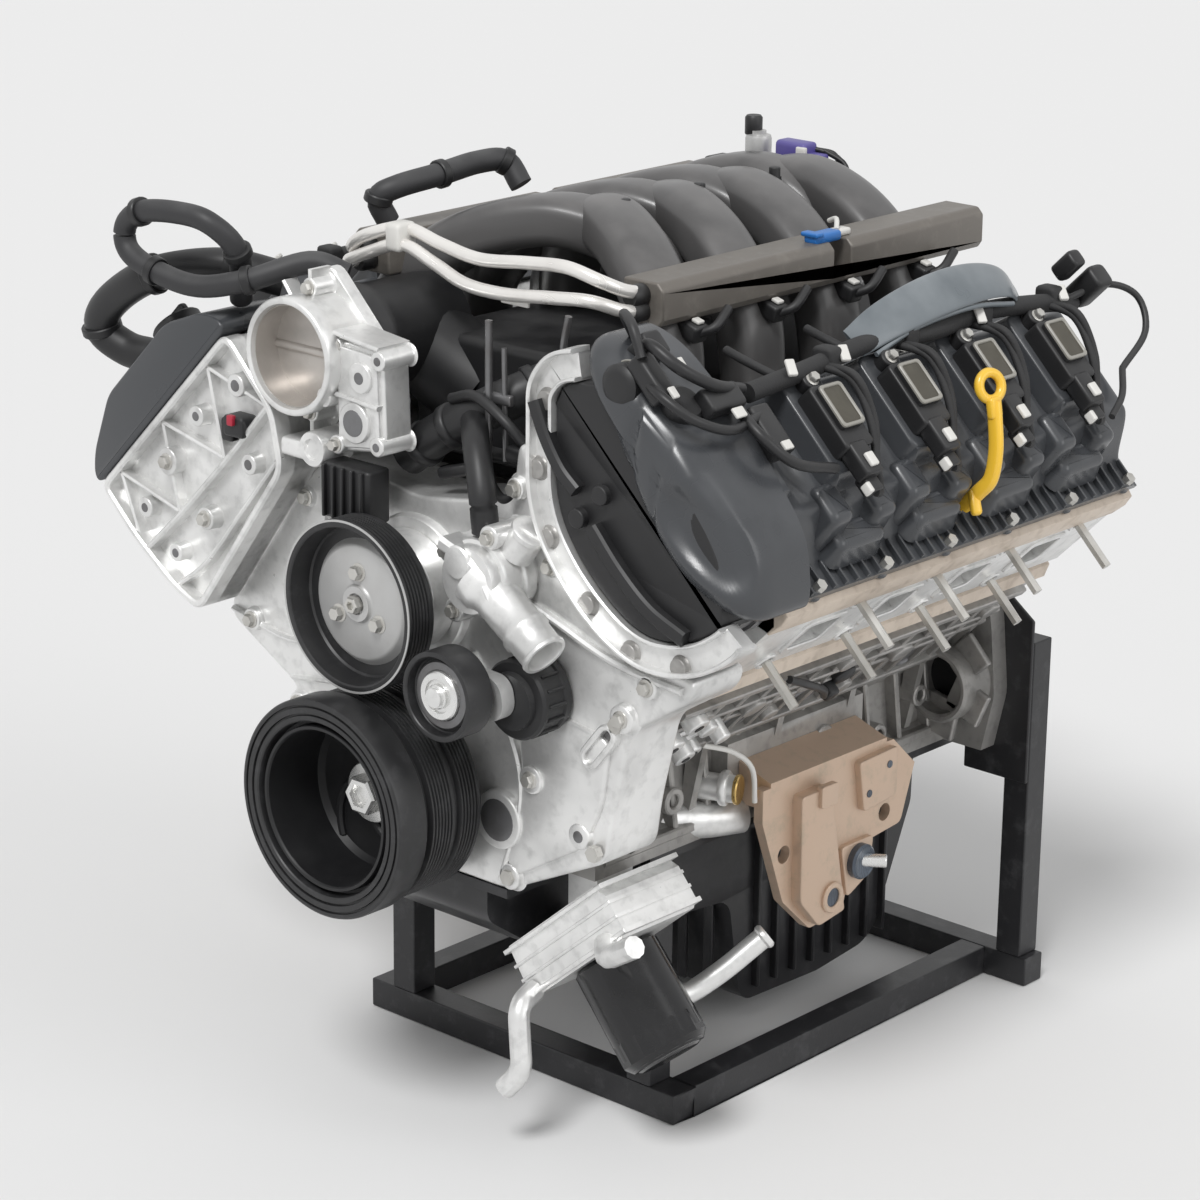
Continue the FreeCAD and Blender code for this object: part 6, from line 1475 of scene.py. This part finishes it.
        pale = [block(left([-72, 566, 463]), out, (10, 7, 3), 1, up),
                block(left([-40, 520, 468]), FORWARD, (12, 9, 3), 1, up),
                block(left([-96, 534, 458]), out, (9, 6, 4), 1, up),
                block(left([-6, 486, 462]), out, (8, 10, 3), 1, up)]
        add_piece("left_front_locks", joined(*pale), *WHITE_CLIP)
        ring = spun_ring(left([-104, 561, 428]), FORWARD, 17.4, 1.0)
        add_piece("left_sensor_edge", ring, *PALE_EDGE)


class V8_OT_dipstick(bpy.types.Operator):
    """Dipstick with its moulded grip and loop, and the oil filler cap"""
    bl_idname = "v8.dipstick"
    bl_label = "Dipstick and filler cap"

    def execute(self, context):
        stem = left([(63, 259, 396), (63, 259, 418), (61, 258, 434), (46, 256, 452), (26, 253, 466),
                     (14, 251, 473)])
        flat = swept(smooth(stem, 8), np.broadcast_to(superellipse(6.5, 4.2, 24, 0.8), (41, 24, 2)), FORWARD)
        loop = spun_ring(left([2, 250, 478]), left([0.5, 0.3, 1.0]), 11, 4.2)
        foot = joined(block(left([68, 262, 410]), left([1, 0.3, -0.3]), (22, 9, 8), 3),
                      block(left([18, 252, 471]), left([1, 0, -0.7]), (18, 14, 8), 3))
        blade = tube(left([(63, 259, 60), (63, 259, 400)]), 2.4, 10, (0, 1, 0), 2)
        add_piece("dipstick_grip", joined(flat, loop, foot, blade), "dipstick", "dipstick_yellow",
                  "dipstick_plastic", ("dipstick",), 50)
        up = right([0, 0, 1])
        centre = right([-34, 560, 428])
        cap = turned([(24, 0.4), (24, 4), (22.6, 6), (22.6, 12), (21, 13.8), (13, 14)], centre, up, 64)
        grip = block(centre + 16 * up, right([1, 0, 0]), (40, 9, 9), 3, up)
        add_piece("oil_cap_shape", joined(cap, grip), "oil_cap", "moulded_black", "dark_plastic",
                  ("oil_cap",))
        return {"FINISHED"}


# ---------------------------------------------------------------- sides and underside

class V8_OT_block_sides(bpy.types.Operator):
    """Ribs, bosses, core plugs, starter pocket and sensors on the block's sides, with painted shade in the
    pocket and the holes; the heads' lower rims
    """
    bl_idname = "v8.block_sides"
    bl_label = "Block sides"

    def execute(self, context):
        for side in (1, -1):
            self.head_rim(side, BANK_SHIFT[side])
            self.side_ribs(side, BANK_SHIFT[side])
        self.left_side()
        return {"FINISHED"}

    def head_rim(self, side, shift):
        name, low = BANK_NAME[side], 28 + shift
        place = left if side > 0 else right
        rim = slab([(84, 379.6), (97, 377), (99, 366), (97, 350), (84, 344)], low, BLOCK_FRONT, place, 1.5)
        foot = slab([(84, 266), (95, 264), (100, 252), (96, 240), (84, 236)], low, BLOCK_FRONT, place, 1.5)
        add_piece(name + "_head_rim", joined(rim, foot), "engine", "cast_bright", "tan_casting")
        ports, pads = [], []
        for s in bores(side):
            outer = box_outline(s - 26, s + 26, 293, 341, 9)
            inner = box_outline(s - 20.5, s + 20.5, 299.5, 334.5, 6)
            ports.append(ring_plate(outer, inner, 93, 97.5, outward(side), 1))
            for ds, u in ((-30, 350), (30, 284)):
                pads.append(ring_plate(circle(10, 24, (s + ds, u)), circle(6.2, 24, (s + ds, u)), 92, 97,
                                       outward(side), 1))
        add_piece(name + "_port_flanges", joined(*ports, *pads), *BRIGHT_CAST)

    def side_ribs(self, side, shift):
        place = outward(side)
        ribs = [band(np.array([(26 + shift, u), (488, u)], float), width, 86, top, place, 1.2)
                for u, width, top in ((221, 9, 99), (186, 5, 97), (166, 6, 96), (122, 8, 98))]
        ribs += [band(np.array([(s, 120), (s + 6, 222)], float), 5, 86, 96, place, 1.2) for s
                 in range(34 + shift, 486, 32)]
        bosses = [post(bank(side, [86, s, u]), bank(side, [1, 0, 0]), r, h, 1.5, 28, 2) for s, u, r, h
                  in ((60, 204, 10, 15), (160, 176, 12, 14), (260, 204, 10, 15), (360, 176, 12, 14),
                      (450, 204, 10, 16), (210, 142, 9, 14), (310, 142, 9, 14), (410, 142, 11, 18))]
        add_piece(BANK_NAME[side] + "_block_ribs", joined(*ribs, *bosses), *GREY_CAST)
        plugs = [turned([(17, 0), (19, 0), (19, 2.5), (17, 4), (15, 2), (6, 1.6)], bank(side, [90, s, 143]),
                        bank(side, [1, 0, 0]), 40) for s in (110 + shift, 260 + shift, 360 + shift)]
        add_piece(BANK_NAME[side] + "_core_plugs", joined(*plugs), "engine", "cast_grey", "dark_steel")
        skirt = sideways(side)
        pads = [ring_plate(circle(r, 28, (s, z)), circle(r * 0.5, 28, (s, z)), 126, x, skirt, 1.2) for s, z,
                r, x in ((206, -24, 13, 150), (206, -52, 13, 150), (64, -20, 10, 146), (400, -30, 12, 144),
                         (452, -52, 11, 142), (120, -44, 10, 144), (290, -18, 10, 144))]
        pads += [band(np.array([(s, -60), (s + 10, 8)], float), 6, 126, 140, skirt, 1.2) for s
                 in range(40, 480, 44)]
        pads.append(band(np.array([(24, -61), (484, -61)], float), 9, 126, 142, skirt, 1.5))
        add_piece(BANK_NAME[side] + "_skirt_bosses", joined(*pads), *GREY_CAST)

    def left_side(self):
        ring = ring_plate(circle(35, 48, (156, -10)), circle(27, 48, (156, -10)), 18, 58, front, 2.5)
        # the pocket's floor is a near-black disc: painted shade in the recess
        pocket = turned([(27.3, 0), (27.3, 3)], (156, -24, -10), FORWARD, 48)
        braces = [block((156 + 26 * c, -38, -10 + 34 * d), (c, 0, d + 0.01), (38, 34, 7), 1.5, FORWARD)
                  for c, d in ((0.8, 0.75), (-0.2, -1.0), (0.9, -0.4))]
        add_piece("starter_pocket", joined(ring, *braces), *GREY_CAST)
        add_piece("starter_pocket_floor", pocket, "engine", "cast_grey", "deep_black")
        lumps = [block((196, -30, 76), (0, 0, 1), (34, 30, 24), 4),
                 block((186, -40, 98), (0, 0, 1), (22, 22, 20), 4),
                 tube(front([(112, 396, -56), (134, 352, -62), (146, 316, -64)]), 16, 28),
                 tube(front([(112, 360, -30), (136, 350, -31), (160, 340, -31)]), 12, 28),
                 turned([(14.5, 0), (15.5, 1.5), (15.5, 5), (14, 7)], (148, -345, -31), (0.92, 0.38, 0),
                        32)]
        out = left([1, 0, 0])
        for s, u, r, h in ((470, 176, 12, 22), (446, 160, 10, 28), (428, 182, 9, 20), (478, 146, 12, 20),
                           (404, 168, 8, 26), (460, 204, 11, 20), (484, 190, 9, 16), (420, 146, 9, 22)):
            lumps.append(post(left([86, s, u]), out, r, h, 1.8, 28, 3))
        lumps += [band(np.array([(404, 168), (446, 160), (478, 146)], float), 8, 86, 99, outward(1), 1.5),
                  band(np.array([(428, 182), (470, 176), (484, 190)], float), 8, 86, 99, outward(1), 1.5)]
        add_piece("left_side_bosses", joined(*lumps), *BRIGHT_CAST)
        # near-black discs on the bosses: painted shade that stands for their holes
        hole_shade_dots = [turned([(k, 0), (k, 0.6)], left([86 + h, s, u]), out, 20) for s, u, k, h in
                ((470, 176, 5, 22), (446, 160, 4, 28), (478, 146, 5, 20), (460, 204, 4.5, 20),
                 (420, 146, 4, 22))]
        add_piece("left_side_holes", joined(*hole_shade_dots), *DEEP_HOLE_SHADE)
        add_piece("side_tube_end", turned([(12.6, 0), (13.2, 1), (13.2, 3), (12, 4)], (160, -340, -31),
                                          (0.92, 0.38, 0), 36), "engine", "cast_bright", "brass")
        knock = joined(turned([(11, 0), (12, 2), (12, 8), (10, 10), (6, 11)], left([90, 236, 172]), out,
                              32), block(left([100, 250, 160]), out, (18, 14, 14), 3),
                       tube(left([(104, 256, 158), (108, 290, 190), (106, 330, 214), (100, 360, 226)]), 3.5,
                            12))
        add_piece("knock_sensor", knock, *BLACK_PLASTIC)
        wire = tube(front([(166, 392, 24), (174, 362, 12), (177, 340, -8), (176, 334, -40)]), 2.4, 12)
        add_piece("side_wire", wire, *WHITE_CLIP)


class V8_OT_underside(bpy.types.Operator):
    """Mount bracket pads, cooler plates and nipples, filter grip and the oil pan's ribs"""
    bl_idname = "v8.underside"
    bl_label = "Underside"

    def execute(self, context):
        pads, bushings_and_hole_shade, pins = [], [], []
        for side in (1, -1):
            place = sideways(side)
            pads.append(plate(rounded([(290, -44), (250, -44), (226, -166), (262, -171), (288, -142)], 4,
                                      3), 180, 193, place, 1.5))
            pads.append(plate(rounded([(206, -36), (152, -34), (152, -80), (198, -84)], 4, 3), 180, 189,
                              place, 1.5))
            pads.append(plate(rounded([(226, -110), (180, -110), (186, -146), (216, -160)], 6, 3), 180, 187,
                              place, 1.5))
            pads.append(plate(box_outline(268, 246, -60, -40, 3), 191, 197, place, 1))
            out = (side, 0, 0)
            pads.append(ring_plate(circle(14, 28, (246, -148)), circle(8.6, 28, (246, -148)), 190, 196,
                                   place, 1))
            # the bushing drums are real parts; the disc in the ring and the small dots are painted shade
            # that stands for holes
            bushings_and_hole_shade.append(turned([(8.6, 0), (8.6, 1)], (side * 193, -246, -148), out, 28))
            bushings_and_hole_shade.append(turned([(15, 0), (16, 1), (16, 8), (14, 10), (9, 8)], (side * 185, -202, -128),
                                out, 36))
            bushings_and_hole_shade += [turned([(3.5, 0), (3.5, 0.6)], (side * 189, y, z), out, 18) for y, z
                      in ((-192, -68), (-164, -48))]
            pins.append(post((side * 186, -202, -128), (side * 0.8, 0.6, 0), 6, 26, 1.5, 24))
            pins.append(block((side * 194, -256, -106), (0, 0, 1), (24, 22, 3), 1))
        add_piece("bracket_pads", joined(*pads), "engine", "bracket_zinc", "zinc_tan")
        add_piece("bracket_bushings", joined(*bushings_and_hole_shade), "engine", "bracket_zinc", "slate_steel")
        add_piece("bracket_pins", joined(*pins), "engine", "bracket_zinc", "bright_steel")
        self.cooler(sizes_of(context)["filter_radius"])
        ribs = [block((side * 97, -s, -190), (0, 0, 1), (150, 4, 12), 1, (side, 0, 0)) for side in (1, -1)
                for s in range(50, 236, 26)]
        ribs += [block((x, -270, -190), (0, 0, 1), (140, 4, 10), 1, (1, 0, 0)) for x in range(-75, 90, 30)]
        add_piece("oil_pan_ribs", joined(*ribs), "engine", "pan_black", "black_paint")
        return {"FINISHED"}

    def cooler(self, radius):
        root, down, across = np.array([122.0, -92.0]), np.array([0.65, -0.76]), np.array([0.76, 0.65])
        shells = []
        for low, high, over in ((9, 13, 3), (24, 27, 1.5), (37, 40, 1.5), (50, 54, 3)):
            corners = ((low, -64 - over), (high, -64 - over), (high, 70 + over), (low, 70 + over))
            line = [root + down * a + across * b for a, b in corners]
            shells.append(slab(line, 446 - over, 536 + over, front, 1.2))
        add_piece("cooler_plates", joined(*shells), *COOLER_CAST)
        spout = front([(150, 452, -150), (152, 430, -184), (156, 402, -202), (170, 370, -188),
                       (190, 338, -160)])
        bead = turned([(9.4, 0), (11.2, 2), (11.2, 5), (9.4, 7)], spout[-1], spout[-1] - spout[-2], 28)
        add_piece("cooler_spout", joined(tube(spout, 9.4, 24), bead), *COOLER_CAST)
        axis = unit(np.array([down[0], 0, down[1]]))
        can = NODES["oil_filter"].data
        points = np.empty(3 * len(can.vertices))
        can.vertices.foreach_get("co", points)
        points = points.reshape(-1, 3) / MM
        heights = points @ axis
        foot = points[heights > heights.max() - 1].mean(0)
        grip = turned([(radius + 0.3, 0), (radius + 0.9, 2), (radius + 0.9, 20), (radius - 5, 27),
                       (radius - 14, 28)], foot - axis * 29, axis, 14, 0.1)
        add_piece("filter_grip", grip, "engine", "filter_black", "gloss_paint", (), 20)


OPERATORS = [V8_OT_stage, V8_OT_inner_parts, V8_OT_castings, V8_OT_cam_covers, V8_OT_wheels,
             V8_OT_front_cover, V8_OT_throttle, V8_OT_thermostat, V8_OT_intake, V8_OT_fuel, V8_OT_hoses,
             V8_OT_coils, V8_OT_dipstick, V8_OT_block_sides, V8_OT_underside]


class V8_PT_parts(bpy.types.Panel):
    """Lists every piece of the engine that can be made"""
    bl_label = "Complete V8 engine"
    bl_idname = "V8_PT_parts"
    bl_space_type = "VIEW_3D"
    bl_region_type = "UI"
    bl_category = "V8 Engine"

    def draw(self, context):
        for group, names in ((context.scene.v8_sizes, EngineSizes.__annotations__),
                             (context.scene.v8_colours, EngineColours.__annotations__)):
            box = self.layout.box()
            for name in names:
                box.prop(group, name)
        for operator in OPERATORS:
            self.layout.operator(operator.bl_idname)


def register():
    for thing in (EngineSizes, EngineColours, *OPERATORS, V8_PT_parts):
        bpy.utils.register_class(thing)
    bpy.types.Scene.v8_sizes = bpy.props.PointerProperty(type=EngineSizes)
    bpy.types.Scene.v8_colours = bpy.props.PointerProperty(type=EngineColours)


def unregister():
    del bpy.types.Scene.v8_colours
    del bpy.types.Scene.v8_sizes
    for thing in (V8_PT_parts, *reversed(OPERATORS), EngineColours, EngineSizes):
        bpy.utils.unregister_class(thing)


def main():
    register()
    for operator in OPERATORS:
        group, name = operator.bl_idname.split(".")
        getattr(getattr(bpy.ops, group), name)()
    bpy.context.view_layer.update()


if __name__ == "__main__":
    main()
